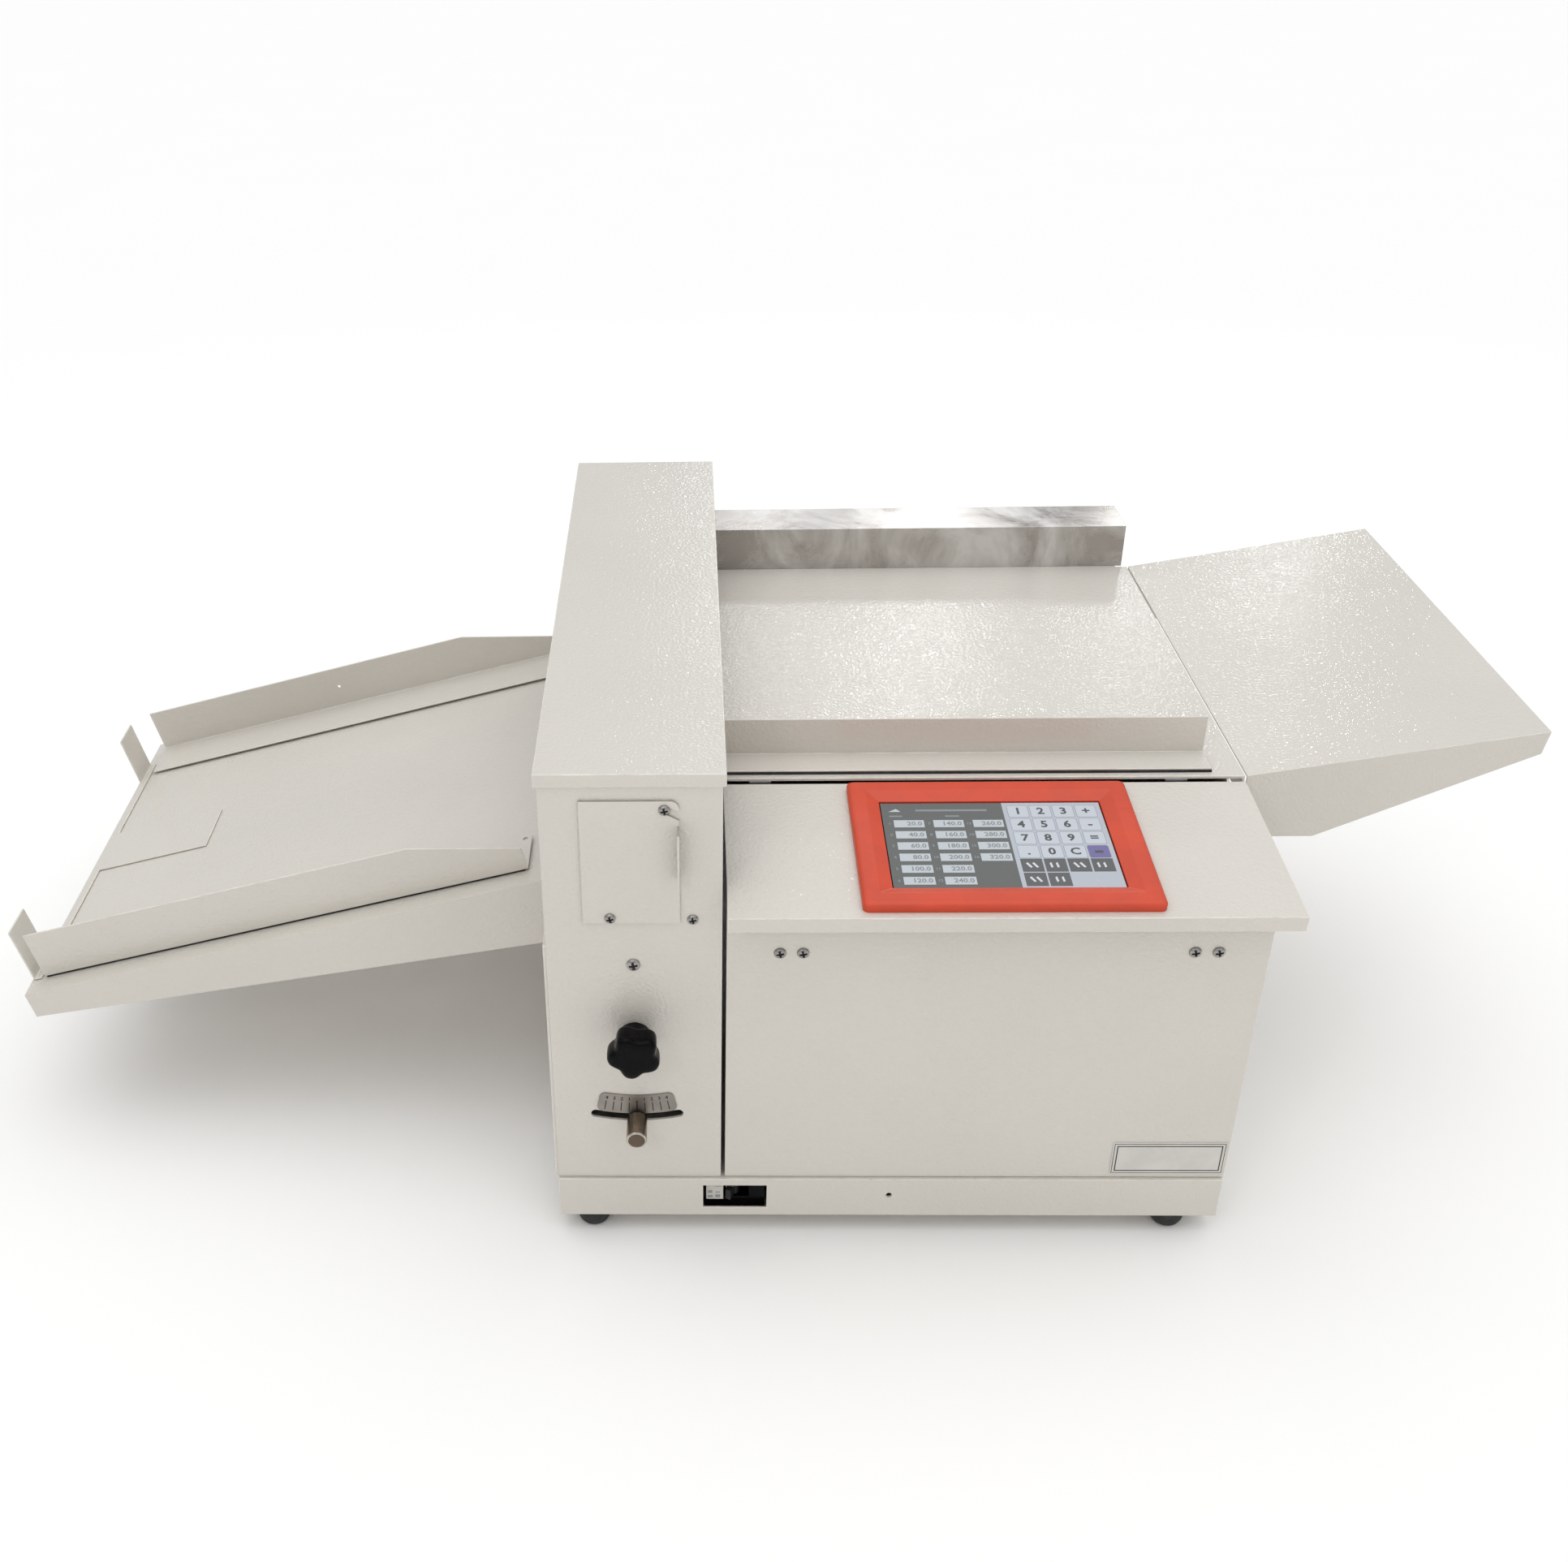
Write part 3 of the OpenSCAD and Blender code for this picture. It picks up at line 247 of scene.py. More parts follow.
def roller_finish(steel, front, back, gear_front, gear_back):
    """Ground rubber between two places along the roller, a pale gear behind them, and steel elsewhere."""
    g = Graph("roller_finish")
    ground = g.noise(1, 3, 0.6, coord=g.stretched(900, 40, 900))
    sleeve = g.zone("Y", front, back)
    gear = g.zone("Y", gear_front, gear_back)
    sleeve_tone = g.mix(g.between(ground, 0.3, 0.7, 0, 1), (0.045, 0.045, 0.05), (0.07, 0.07, 0.075))
    gear_tone = g.mix(g.noise(60, 3), (0.70, 0.68, 0.62), (0.62, 0.60, 0.55))
    colour = g.mix(gear, g.mix(sleeve, steel, sleeve_tone), gear_tone)
    covered = g.maths("ADD", sleeve, gear)
    g.set(Base_Color=colour, Metallic=g.between(covered, 0, 1, 1, 0))
    g.set(Roughness=g.mix(covered, (0.25, 0.25, 0.25), (0.62, 0.62, 0.62)))
    g.set(Normal=g.bump(ground, 0.00003, 0.5))
    return g.mat


def circuit_board():
    """Solder mask with copper tracks showing through it."""
    g = Graph("solder_mask")
    tracks = g.node("ShaderNodeTexBrick", Vector=g.coord, Scale=260).outputs["Fac"]
    colour = g.mix(g.between(tracks, 0, 1, 0, 0.6), (0.02, 0.11, 0.05), (0.03, 0.19, 0.09))
    rough = g.between(g.noise(80, 3), 0.3, 0.7, 0.28, 0.42)
    g.set(Base_Color=colour, Roughness=rough, Coat_Weight=0.4)
    g.set(Normal=g.bump(tracks, 0.00004, 0.4))
    return g.mat


COAT = powder_coat("ivory_coat", IVORY)
EDGE = worn_edge("ivory_edge", IVORY)
STEEL = metal("ground_steel", (0.52, 0.53, 0.55), 0.32)
PLATE = metal("milled_plate", (0.66, 0.67, 0.68), 0.34, (60, 900, 60))
TURNED = metal("turned_steel", (0.66, 0.66, 0.67), 0.2, (900, 40, 900))
CHROME = metal("chrome_plate", (0.66, 0.65, 0.64), 0.16, (300, 300, 300), 0.15)
SCREW = metal("plated_screw", (0.36, 0.345, 0.33), 0.26, (300, 300, 300), 0.5)
NICKEL = metal("aged_nickel", (0.27, 0.215, 0.165), 0.30, (900, 25, 900), 0.6)
# the handle's end and rim: darker and lighter copies of its nickel, a painted dark reflection and a painted
# highlight
NICKEL_PAINTED_DARK_END = metal("nickel_painted_dark_reflection", (0.13, 0.10, 0.075), 0.3, (900, 25, 900), 0.5)
NICKEL_PAINTED_HIGHLIGHT = metal("nickel_painted_highlight_rim", (0.5, 0.46, 0.41), 0.2, (300, 300, 300), 0.2)
ETCHED = metal("etched_plate", (0.30, 0.275, 0.25), 0.36, (18, 900, 900), 0.3)
BRASS = metal("sintered_bronze", (0.55, 0.38, 0.17), 0.42, (400, 400, 400), 0.6)
ZINC = metal("zinc_sheet", (0.60, 0.61, 0.62), 0.36, (90, 90, 90), 0.2)
STAINLESS = stainless()
ORANGE = plastic("bezel_paint", (0.60, 0.062, 0.024), 0.42, 700, 0.00004, 0.1, 0.35)
BLACK = plastic("black_moulding", (0.0025, 0.0025, 0.003), 0.2, 900, 0.00003, 0.0, 0.08)
DARK = plastic("dark_moulding", (0.014, 0.014, 0.016), 0.4, 900, 0.00003, 0.0, 0.3)
# the door's folds and cut edges: the coat at half brightness, a painted shadow line round the door
DOOR_PAINTED_SHADE = worn_edge("door_painted_shade_edge", tint(IVORY, 0.5))
CHIP = plastic("chip_moulding", (0.02, 0.02, 0.022), 0.5)
MOTOR = plastic("motor_paint", (0.03, 0.031, 0.034), 0.4, 500, 0.00005)
RUBBER = rubber("black_rubber", (0.014, 0.014, 0.015))
BELT = rubber("belt_rubber", (0.02, 0.02, 0.021))
BOARD = circuit_board()
LABEL = plastic("label_film", (0.62, 0.595, 0.55), 0.35, 900, 0.00001)
INK = plastic("printed_ink", (0.018, 0.018, 0.02), 0.45, 900, 0.00001)
PALE_INK = plastic("faint_ink", (0.30, 0.30, 0.31), 0.45, 900, 0.00001)


# ---------- mesh helpers ----------
def lo(node):
    """The lowest corner of a node's box at rest."""
    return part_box(node)[0]


def hi(node):
    """The highest corner of a node's box at rest."""
    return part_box(node)[1]


def mid(node):
    """The middle of a node's box at rest."""
    a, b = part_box(node)
    return (Vector(a) + Vector(b)) / 2


def finish_piece(name, bm, materials, body, stands_for=(), crease=32, bevel=None):
    """Turns a bmesh into a shaded piece that rides on a body. Edges over crease degrees stay sharp."""
    mesh = bpy.data.meshes.new(name)
    bmesh.ops.recalc_face_normals(bm, faces=bm.faces)
    bm.to_mesh(mesh)
    bm.free()
    for m in materials:
        mesh.materials.append(m)
    mesh.polygons.foreach_set("use_smooth", [True] * len(mesh.polygons))
    mesh.set_sharp_from_angle(angle=math.radians(crease))
    piece = bpy.data.objects.new(name, mesh)
    bpy.context.scene.collection.objects.link(piece)
    if bevel:
        soft = piece.modifiers.new("soft_edges", "BEVEL")
        soft.width, soft.segments, soft.limit_method = bevel, 2, "ANGLE"
        soft.angle_limit = math.radians(35)
    weighted = piece.modifiers.new("even_normals", "WEIGHTED_NORMAL")
    weighted.keep_sharp = True
    if stands_for:
        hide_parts(*stands_for)
    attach(piece, body)
    return piece


def cad_bmesh(node):
    """The node's own mesh, welded, with its flat triangles joined into whole faces."""
    bm = bmesh.new()
    bm.from_mesh(NODES[node].data)
    bmesh.ops.remove_doubles(bm, verts=bm.verts, dist=WELD)
    bmesh.ops.dissolve_degenerate(bm, edges=bm.edges, dist=1e-6)
    bmesh.ops.dissolve_limit(bm, angle_limit=math.radians(0.6), verts=bm.verts, edges=bm.edges)
    return bm


def refine(node, materials, fold=0.0, segments=2, sharp=28, rim=False):
    """A copy of a CAD node with its folds rounded where they turn more than sharp degrees.

    The last material goes on the folds, and with rim on the cut edges too.
    """
    bm = cad_bmesh(node)
    last = len(materials) - 1
    if rim:
        for f in bm.faces:
            if abs(f.normal.y) < 0.5:  # faces neither forwards nor back
                f.material_index = last
    if fold:
        shortest = 2.2 * fold
        folds = [e for e in bm.edges if len(e.link_faces) == 2
                 and e.calc_face_angle(0) > math.radians(sharp) and e.calc_length() > shortest]
        bmesh.ops.bevel(bm, geom=folds, offset=fold, segments=segments, profile=0.5, affect="EDGES",
                        clamp_overlap=True, material=last)
    return finish_piece(node + "_skin", bm, materials, BODY_OF[node], (node,),
                        crease=40)


def islands(node):
    """Lists of points, one for each separate solid of a CAD node, from left to right."""
    bm = bmesh.new()
    bm.from_mesh(NODES[node].data)
    bmesh.ops.remove_doubles(bm, verts=bm.verts, dist=WELD)
    seen, found = set(), []
    for start in bm.verts:
        if start in seen:
            continue
        seen.add(start)
        todo, group = [start], []
        while todo:
            v = todo.pop()
            group.append(v.co.copy())
            for e in v.link_edges:
                w = e.other_vert(v)
                if w not in seen:
                    seen.add(w)
                    todo.append(w)
        found.append(group)
    bm.free()
    return sorted(found, key=lambda g: (min(v.x for v in g), min(v.z for v in g)))


def extent(points):
    """The lowest and highest corners of some points."""
    low = Vector(min(p[i] for p in points) for i in range(3))
    return low, Vector(max(p[i] for p in points) for i in range(3))


def around(radius, i, steps, turn=0.0):
    """The i-th of some points spread evenly round a circle."""
    angle = TAU * i / steps + turn
    return radius * math.cos(angle), radius * math.sin(angle)


def lathe(bm, profile, place, steps=64, material=0):
    """Spins (radius, height) points round the local Z axis; place puts the result in the row frame."""
    rings = []
    for r, z in profile:
        count = steps if r else 1
        rings.append([bm.verts.new(place @ Vector((*around(r, i, count), z))) for i in range(count)])
    skin(bm, rings, material)


def skin(bm, rings, material=0):
    """Joins closed rings of vertices one after another. A ring of one vertex closes an end."""
    for a, b in pairwise(rings):
        n = max(len(a), len(b))
        for i in range(n):
            k = (i + 1) % n
            corners = [a[i % len(a)], a[k % len(a)], b[k % len(b)], b[i % len(b)]]
            unique = list(dict.fromkeys(corners))
            if len(unique) > 2:
                bm.faces.new(unique).material_index = material


def prism(bm, outline, z0, z1, place, material=0):
    """Pushes a closed 2-D outline from z0 to z1 in a local frame."""
    low = [bm.verts.new(place @ Vector((x, y, z0))) for x, y in outline]
    top = [bm.verts.new(place @ Vector((x, y, z1))) for x, y in outline]
    faces = [bm.faces.new(top), bm.faces.new(low[::-1])]
    for i, a in enumerate(low):
        k = (i + 1) % len(low)
        faces.append(bm.faces.new((a, low[k], top[k], top[i])))
    for f in faces:
        f.material_index = material


def rounded(x0, x1, y0, y1, r, steps=5):
    """A rectangle with rounded corners."""
    if r <= 0:
        return [(x0, y0), (x1, y0), (x1, y1), (x0, y1)]
    points = []
    corners = ((x1 - r, y0 + r), (x1 - r, y1 - r), (x0 + r, y1 - r), (x0 + r, y0 + r))
    for start, (cx, cy) in zip((-90, 0, 90, 180), corners):
        for i in range(steps + 1):
            a = math.radians(start + 90 * i / steps)
            points.append((cx + r * math.cos(a), cy + r * math.sin(a)))
    return points


def glyphs(bm, text, size, x, y, z, place, material=0, align="CENTER"):
    """Adds the flat faces of a few generic figures or signs to a bmesh."""
    curve = bpy.data.curves.new("figures", "FONT")
    curve.body, curve.size, curve.align_x, curve.align_y = text, size, align, "CENTER"
    curve.resolution_u = 2
    curve.offset = 0.03 * size  # a little bolder
    holder = bpy.data.objects.new("figures", curve)
    bpy.context.scene.collection.objects.link(holder)
    mesh = bpy.data.meshes.new_from_object(holder)
    old_verts, old_faces = len(bm.verts), len(bm.faces)
    bm.from_mesh(mesh)
    bm.verts.ensure_lookup_table()
    bm.faces.ensure_lookup_table()
    for v in bm.verts[old_verts:]:
        v.co = place @ Vector((x + v.co.x, y + v.co.y, z))
    for f in bm.faces[old_faces:]:
        f.material_index = material
    bpy.data.objects.remove(holder)
    bpy.data.curves.remove(curve)
    bpy.data.meshes.remove(mesh)


def facing_front(x, y, z):
    """A frame whose local X is +X, local Y is +Z and local Z points out of the front, along -Y."""
    return Matrix.Translation((x, y, z)) @ Matrix.Rotation(math.pi / 2, 4, "X")


# ---------- sheet metal and plain pieces ----------
for sheet_node in ("base_pan", "tower_front_panel", "tower_shell", "front_panel", "right_side_panel",
                   "rear_panel", "console", "feed_table", "front_fence", "extension_table", "delivery_tray",
                   "front_tray_guide", "rear_tray_guide", "end_stop"):
    refine(sheet_node, [COAT, EDGE], 0.55 * MM)
refine("top_cover", [COAT, EDGE], 0.8 * MM, 3)
refine("tower_left_cover", [COAT, EDGE], 0.4 * MM)
# the door's cut edges and folds get the painted shade that outlines it
refine("access_door", [COAT, DOOR_PAINTED_SHADE], 0.35 * MM, rim=True)
refine("rear_fence", [STAINLESS], 0.35 * MM)
for strip in ("front_fence_magnet", "front_guide_magnet", "rear_guide_magnet"):
    refine(strip, [RUBBER], 0.3 * MM)
for plate_node in ("front_frame", "rear_frame"):
    refine(plate_node, [PLATE], 0.4 * MM)
for steel_node in ("tie_bars", "bed_beam", "lock_bracket", "skew_lever", "die_bar", "crease_beam"):
    refine(steel_node, [STEEL], 0.4 * MM)
for turned_node in ("cam_shaft", "cam_pulley", "main_motor_pulley", "feed_motor_pulley", "guide_columns"):
    refine(turned_node, [TURNED], 0.25 * MM)
refine("beam_cams", [STEEL], 0.3 * MM)
refine("die_insert", [TURNED], 0.15 * MM)
refine("crease_blade", [CHROME], 0.1 * MM)
refine("shaft_bushes", [BRASS])
refine("feed_belts", [BELT], 0.2 * MM)
refine("main_belt", [BELT], 0.2 * MM)
refine("mains_inlet", [DARK], 0.6 * MM)
refine("breaker_body", [BLACK], 0.5 * MM)
refine("power_supply", [ZINC], 0.5 * MM)


def rollers():
    """The four feed rollers: a ground rubber sleeve on a steel shaft, with a pale gear."""
    steel = (0.6, 0.6, 0.61)
    sleeve_front, sleeve_back = lo("feed_table").y + 0.3 * MM, lo("rear_fence").y - 2.6 * MM
    gear_front = hi("rear_frame").y + 1.5 * MM
    gear_back = gear_front + 6.2 * MM
    finish = roller_finish(steel, sleeve_front, sleeve_back, gear_front, gear_back)
    for side in ("infeed", "outfeed"):
        for level in ("lower", "upper"):
            refine(f"{side}_{level}_roller", [finish])


def motors():
    """The two motors' painted bodies, each with four screws in its face plate."""
    # a socket head's (radius, height)
    head = [(0, 0.5 * MM), (1.1 * MM, 0.5 * MM), (1.1 * MM, 2 * MM), (2.4 * MM, 2 * MM), (2.6 * MM, 1.6 * MM),
            (2.6 * MM, 0), (0, 0)]
    # (node, distance between its screws, distance from its back to its face plate)
    for node, spacing, body in (("feed_motor", 47.1 * MM, 61 * MM), ("main_motor", 70 * MM, 50 * MM)):
        refine(node, [MOTOR], 0.8 * MM)
        centre, face = mid(node), hi(node).y - body
        bm = bmesh.new()
        for sx in (-0.5, 0.5):
            for sz in (-0.5, 0.5):
                lathe(bm, head, facing_front(centre.x + sx * spacing, face, centre.z + sz * spacing), 24)
        finish_piece(node + "_screws", bm, [CHROME], "machine")


def board():
    """The control board's mask, chips, heat sink and connectors."""
    a, b = lo("control_board"), hi("control_board")
    mask_front, mask_back = b.y - 11.7 * MM, b.y - 9.9 * MM
    bm = cad_bmesh("control_board")
    for f in bm.faces:
        y = f.calc_center_median().y
        f.material_index = 1 if y < mask_front else 2 if y > mask_back else 0
    finish_piece("control_board_skin", bm, [BOARD, CHIP, BRASS], "machine",
                 ("control_board",))
    block, spacing, deep = 12 * MM, 17 * MM, 9 * MM
    bottom, top = a.z + 3 * MM, a.z + 10 * MM
    bm = bmesh.new()
    for i in range(8):
        x = a.x + 18 * MM + spacing * i
        prism(bm, rounded(x, x + block, bottom, top, 0.6 * MM), 0, deep,
              facing_front(0, mask_front + 0.1 * MM, 0))
        for k in range(2):
            lathe(bm, [(0, deep + 0.4 * MM), (2 * MM, deep + 0.4 * MM), (2.1 * MM, deep)],
                  facing_front(x + (3.2 + 5.4 * k) * MM, mask_front, (bottom + top) / 2), 16, 1)
    finish_piece("control_board_terminals", bm, [LABEL, TURNED], "machine")


# ---------- screws ----------
def cross_screw(bm, x, z, y_face, radius, height):
    """A button head with a cross recess, as a height field over rings. The recess takes the second material,
    black, as painted shade.
    """
    rings_n, steps, turn = 20, 64, 0.2
    depth, half, reach = 0.62 * height, 0.15 * radius, 0.62 * radius
    place = facing_front(x, y_face, z)

    def arm(r, a):
        """How far a point lies along the nearest arm of the cross, and to the side of it."""
        u, v = abs(r * math.cos(a)), abs(r * math.sin(a))
        return max(u, v), min(u, v)

    def dome(r, a):
        """The head's height: a low dome, less a cross with sloping walls."""
        along, across = arm(r, a)
        top = height * math.sqrt(max(0.0, 1 - (r / radius) ** 2 * 0.92)) if r < radius else 0.0
        wall = max(0.0, min(1.0, (half * (1.35 - 0.5 * along / reach) - across) / (0.3 * half)))
        end = max(0.0, min(1.0, (reach - along) / (0.25 * half)))
        return top - depth * min(wall, end) * (1.0 - 0.35 * along / reach)

    def ring(r, heights):
        """A ring of vertices, each with its own height."""
        return [bm.verts.new(place @ Vector((*around(r, k, steps, turn), h))) for k, h in enumerate(heights)]

    rings = [[bm.verts.new(place @ Vector((0, 0, dome(0, 0))))]]
    for i in range(1, rings_n + 1):
        r = radius * i / rings_n
        rings.append(ring(r, [dome(r, TAU * k / steps) for k in range(steps)]))
    rings.append(ring(radius, [0] * steps))  # down to the panel
    made = len(bm.faces)
    skin(bm, rings)
    bm.faces.ensure_lookup_table()
    for f in bm.faces[made:]:
        centre = f.calc_center_median() - Vector((x, y_face, z))
        along, across = arm(math.hypot(centre.x, centre.z), math.atan2(centre.z, centre.x) - turn)
        # faces in the cross recess get the black second material: painted shade in the recess
        if across < 1.25 * half and along < reach:
            f.material_index = 1


def front_screws():
    """Each screw's head and shank, where the CAD has it."""
    height = 2.5 * MM
    bm = bmesh.new()
    for group in islands("panel_screws"):
        a, b = extent(group)
        x, z = (a.x + b.x) / 2, (a.z + b.z) / 2
        radius = (b.x - a.x) / 2
        cross_screw(bm, x, z, a.y + height, radius, height)
        shank, tip = max(1.95 * MM, radius * 0.5), -(b.y - a.y - height)
        lathe(bm, [(0, tip), (shank, tip), (shank, -0.1 * MM)], facing_front(x, a.y + height, z), 24)
    # the black rubber on the cross recesses is painted shade
    finish_piece("front_screws", bm, [SCREW, RUBBER], "machine",
                 ("panel_screws",), crease=50)


# ---------- controls on the tower ----------
def knob():
    """A five-lobed star knob on a raised hub and a short neck."""
    a, b = lo("star_knob"), hi("star_knob")
    x_axis, _, z_axis = JOINT["knob_turn"]["pos_m"]
    radius = max(math.hypot(v.co.x - x_axis, v.co.z - z_axis) for v in NODES["star_knob"].data.vertices)
    lobes, first, lobe_depth, steps = 5, math.radians(44), 0.2, 168
    head, neck, hub = 18 * MM, 6.5 * MM, 11.5 * MM
    neck_end, hub_end = -(b.y - a.y - head), -10 * MM
    dish = 0.985 * head
    place = facing_front(x_axis, a.y + head, z_axis)
    # (radius, height above the head's back)
    stem = ((neck, neck_end), (neck, hub_end), (hub - 0.8 * MM, hub_end), (hub, hub_end + 0.8 * MM),
            (hub, -1.5 * MM), (hub + 0.6 * MM, -0.3 * MM))
    # (share of the head's height, share of the radius, how much of the lobes shows)
    head_rings = ((0.0, 0.66, 0.0), (0.0, 0.80, 0.6), (0.03, 0.90, 0.9), (0.10, 0.965, 1.0), (0.2, 0.99, 1.0),
                  (0.5, 1.0, 1.0), (0.74, 0.99, 1.0), (0.87, 0.95, 1.0), (0.94, 0.88, 0.97),
                  (0.98, 0.78, 0.85), (0.995, 0.62, 0.5), (1.0, 0.42, 0.1), (0.985, 0.30, 0.0))
    bm = bmesh.new()
    rings = [[bm.verts.new(place @ Vector((*around(r, i, steps), z))) for i in range(steps)] for r, z in stem]
    for h, share, show in head_rings:
        ring = []
        for i in range(steps):
            wave = 0.5 - 0.5 * math.cos(lobes * (TAU * i / steps - first))
            r = radius * share * (1 - lobe_depth * show * wave ** 1.2)
            ring.append(bm.verts.new(place @ Vector((*around(r, i, steps), h * head))))
        rings.append(ring)
    back, front = ([bm.verts.new(place @ Vector((0, 0, z)))] for z in (neck_end, dish))
    skin(bm, [back, *rings, front])
    finish_piece("star_knob_grip", bm, [BLACK], "knob", ("star_knob",), crease=45)


def handle():
    """The lever's turned nickel handle with a slightly dished end: a lighter copy of the nickel on the rim is
    a painted highlight, a darker copy on the end a painted dark reflection.
    """
    a, b = lo("lever_handle"), hi("lever_handle")
    centre = mid("lever_handle")
    r = (b.x - a.x) / 2
    rod, grip = 3.2 * MM, 22.5 * MM
    tail = -(b.y - a.y - grip)
    rim_back, rim_in = grip - 0.9 * MM, r - 1.3 * MM
    sides = ([(0, tail), (rod, tail), (rod, 0), (r - 0.7 * MM, 0), (r, 0.7 * MM), (r, rim_back)],
             [(r, rim_back), (r - 0.25 * MM, grip - 0.35 * MM), (r - 0.8 * MM, grip), (rim_in, grip)],
             [(rim_in, grip), (r - 1.8 * MM, grip - 0.25 * MM), (r * 0.4, grip - 0.32 * MM),
              (0, grip - 0.3 * MM)])
    bm = bmesh.new()
    for material, side in enumerate(sides):
        lathe(bm, side, facing_front(centre.x, a.y + grip, centre.z), 72, material)
    bmesh.ops.remove_doubles(bm, verts=bm.verts, dist=1e-6)
    # sides in plain nickel, rim with a painted highlight, end with a painted dark reflection
    finish_piece("lever_grip", bm, [NICKEL, NICKEL_PAINTED_HIGHLIGHT, NICKEL_PAINTED_DARK_END], "skew",
                 ("lever_handle",), crease=40)


def scale():
    """The etched plate over the lever's slot, with nine ticks and generic figures."""
    a, b = lo("scale_plate"), hi("scale_plate")
    px, _, pz = JOINT["lever_swing"]["pos_m"]
    half_band = 8.5 * MM
    r_mid = pz - a.z - half_band
    half_run = math.asin((b.x - a.x) / 2 / r_mid) * r_mid
    thick = b.y - a.y
    ink_top = thick + 0.04 * MM
    place = facing_front(px, b.y, pz)

    def bent(u, v):
        """A place on the flat plate, bent round the lever's axis."""
        angle = u / r_mid
        radius = r_mid - v
        return (radius * math.sin(angle), -radius * math.cos(angle))

    def ribbon(u0, u1, v0, v1, corner=0.0, parts=1):
        """A straight strip laid along the plate's arc."""
        flat = rounded(u0, u1, v0, v1, corner, 6)
        dense = []
        for (x0, y0), (x1, y1) in pairwise([*flat, flat[0]]):
            n = parts if abs(x1 - x0) > 4 * MM else 1
            dense += [(x0 + (x1 - x0) * i / n, y0 + (y1 - y0) * i / n) for i in range(n)]
        return [bent(u, v) for u, v in dense]

    bm = bmesh.new()
    prism(bm, ribbon(-half_run, half_run, -half_band, half_band, 4.5 * MM, 24), 0, thick, place)
    finish_piece("scale_plate_skin", bm, [ETCHED], "machine", ("scale_plate",),
                 crease=30)
    bm = bmesh.new()
    step = 0.2 * half_run
    for k in range(-4, 5):
        half_tick, top = (0.38 * MM, 1.6 * MM) if k else (0.6 * MM, 3.6 * MM)
        prism(bm, ribbon(k * step - half_tick, k * step + half_tick, -6.6 * MM, top), thick, ink_top, place)
        if k:
            x, y = bent(k * step, 4.6 * MM)
            spin = place @ Matrix.Translation((x, y, 0)) @ Matrix.Rotation(k * step / r_mid, 4, "Z")
            glyphs(bm, str(abs(k)), 4.2 * MM, 0, 0, ink_top, spin)
    finish_piece("scale_marks", bm, [INK], "machine")


# ---------- touch screen ----------
def console_frame():
    """The rotation that lays local XY on the console, from the screen module's top face."""
    mesh = NODES["touch_screen_module"].data
    top = max(mesh.polygons, key=lambda p: p.area * p.normal.z)
    return Matrix.Rotation(math.atan2(-top.normal.y, top.normal.z), 4, "X")


def bezel(tilt, display_lo, display_hi, z_display):
    """The painted bezel: a soft outer edge, a flat band and a chamfer that falls to the display."""
    a, b = extent([tilt.inverted() @ v.co for v in NODES["touch_screen_bezel"].data.vertices])
    base, top = a.z, b.z
    rim = z_display + 0.9 * MM
    gap = 0.9 * MM
    # (share of the way in to the display, height, corner radius in mm)
    profile = ((0.0, base, 4.2), (0.0, top - 2.4 * MM, 4.2), (0.02, top - 1.5 * MM, 4.0),
               (0.07, top - 0.6 * MM, 3.6), (0.13, top - 0.15 * MM, 3.2), (0.2, top, 2.9), (0.54, top, 2.2),
               (0.57, top - 0.08 * MM, 2.0), (0.6, top - 0.35 * MM, 1.8), (0.97, rim + 0.25 * MM, 0.6),
               (1.0, rim, 0.5), (1.0, base, 0.5))
    bm = bmesh.new()
    rings = []
    for t, z, corner in profile:
        x0 = a.x + (display_lo.x - gap - a.x) * t
        x1 = b.x + (display_hi.x + gap - b.x) * t
        y0 = a.y + (display_lo.y - gap - a.y) * t
        y1 = b.y + (display_hi.y + gap - b.y) * t
        outline = rounded(x0, x1, y0, y1, corner * MM, 8)
        rings.append([bm.verts.new(tilt @ Vector((x, y, z))) for x, y in outline])
    skin(bm, [*rings, rings[0]])
    finish_piece("bezel_frame", bm, [ORANGE], "machine",
                 ("touch_screen_bezel",), crease=50)


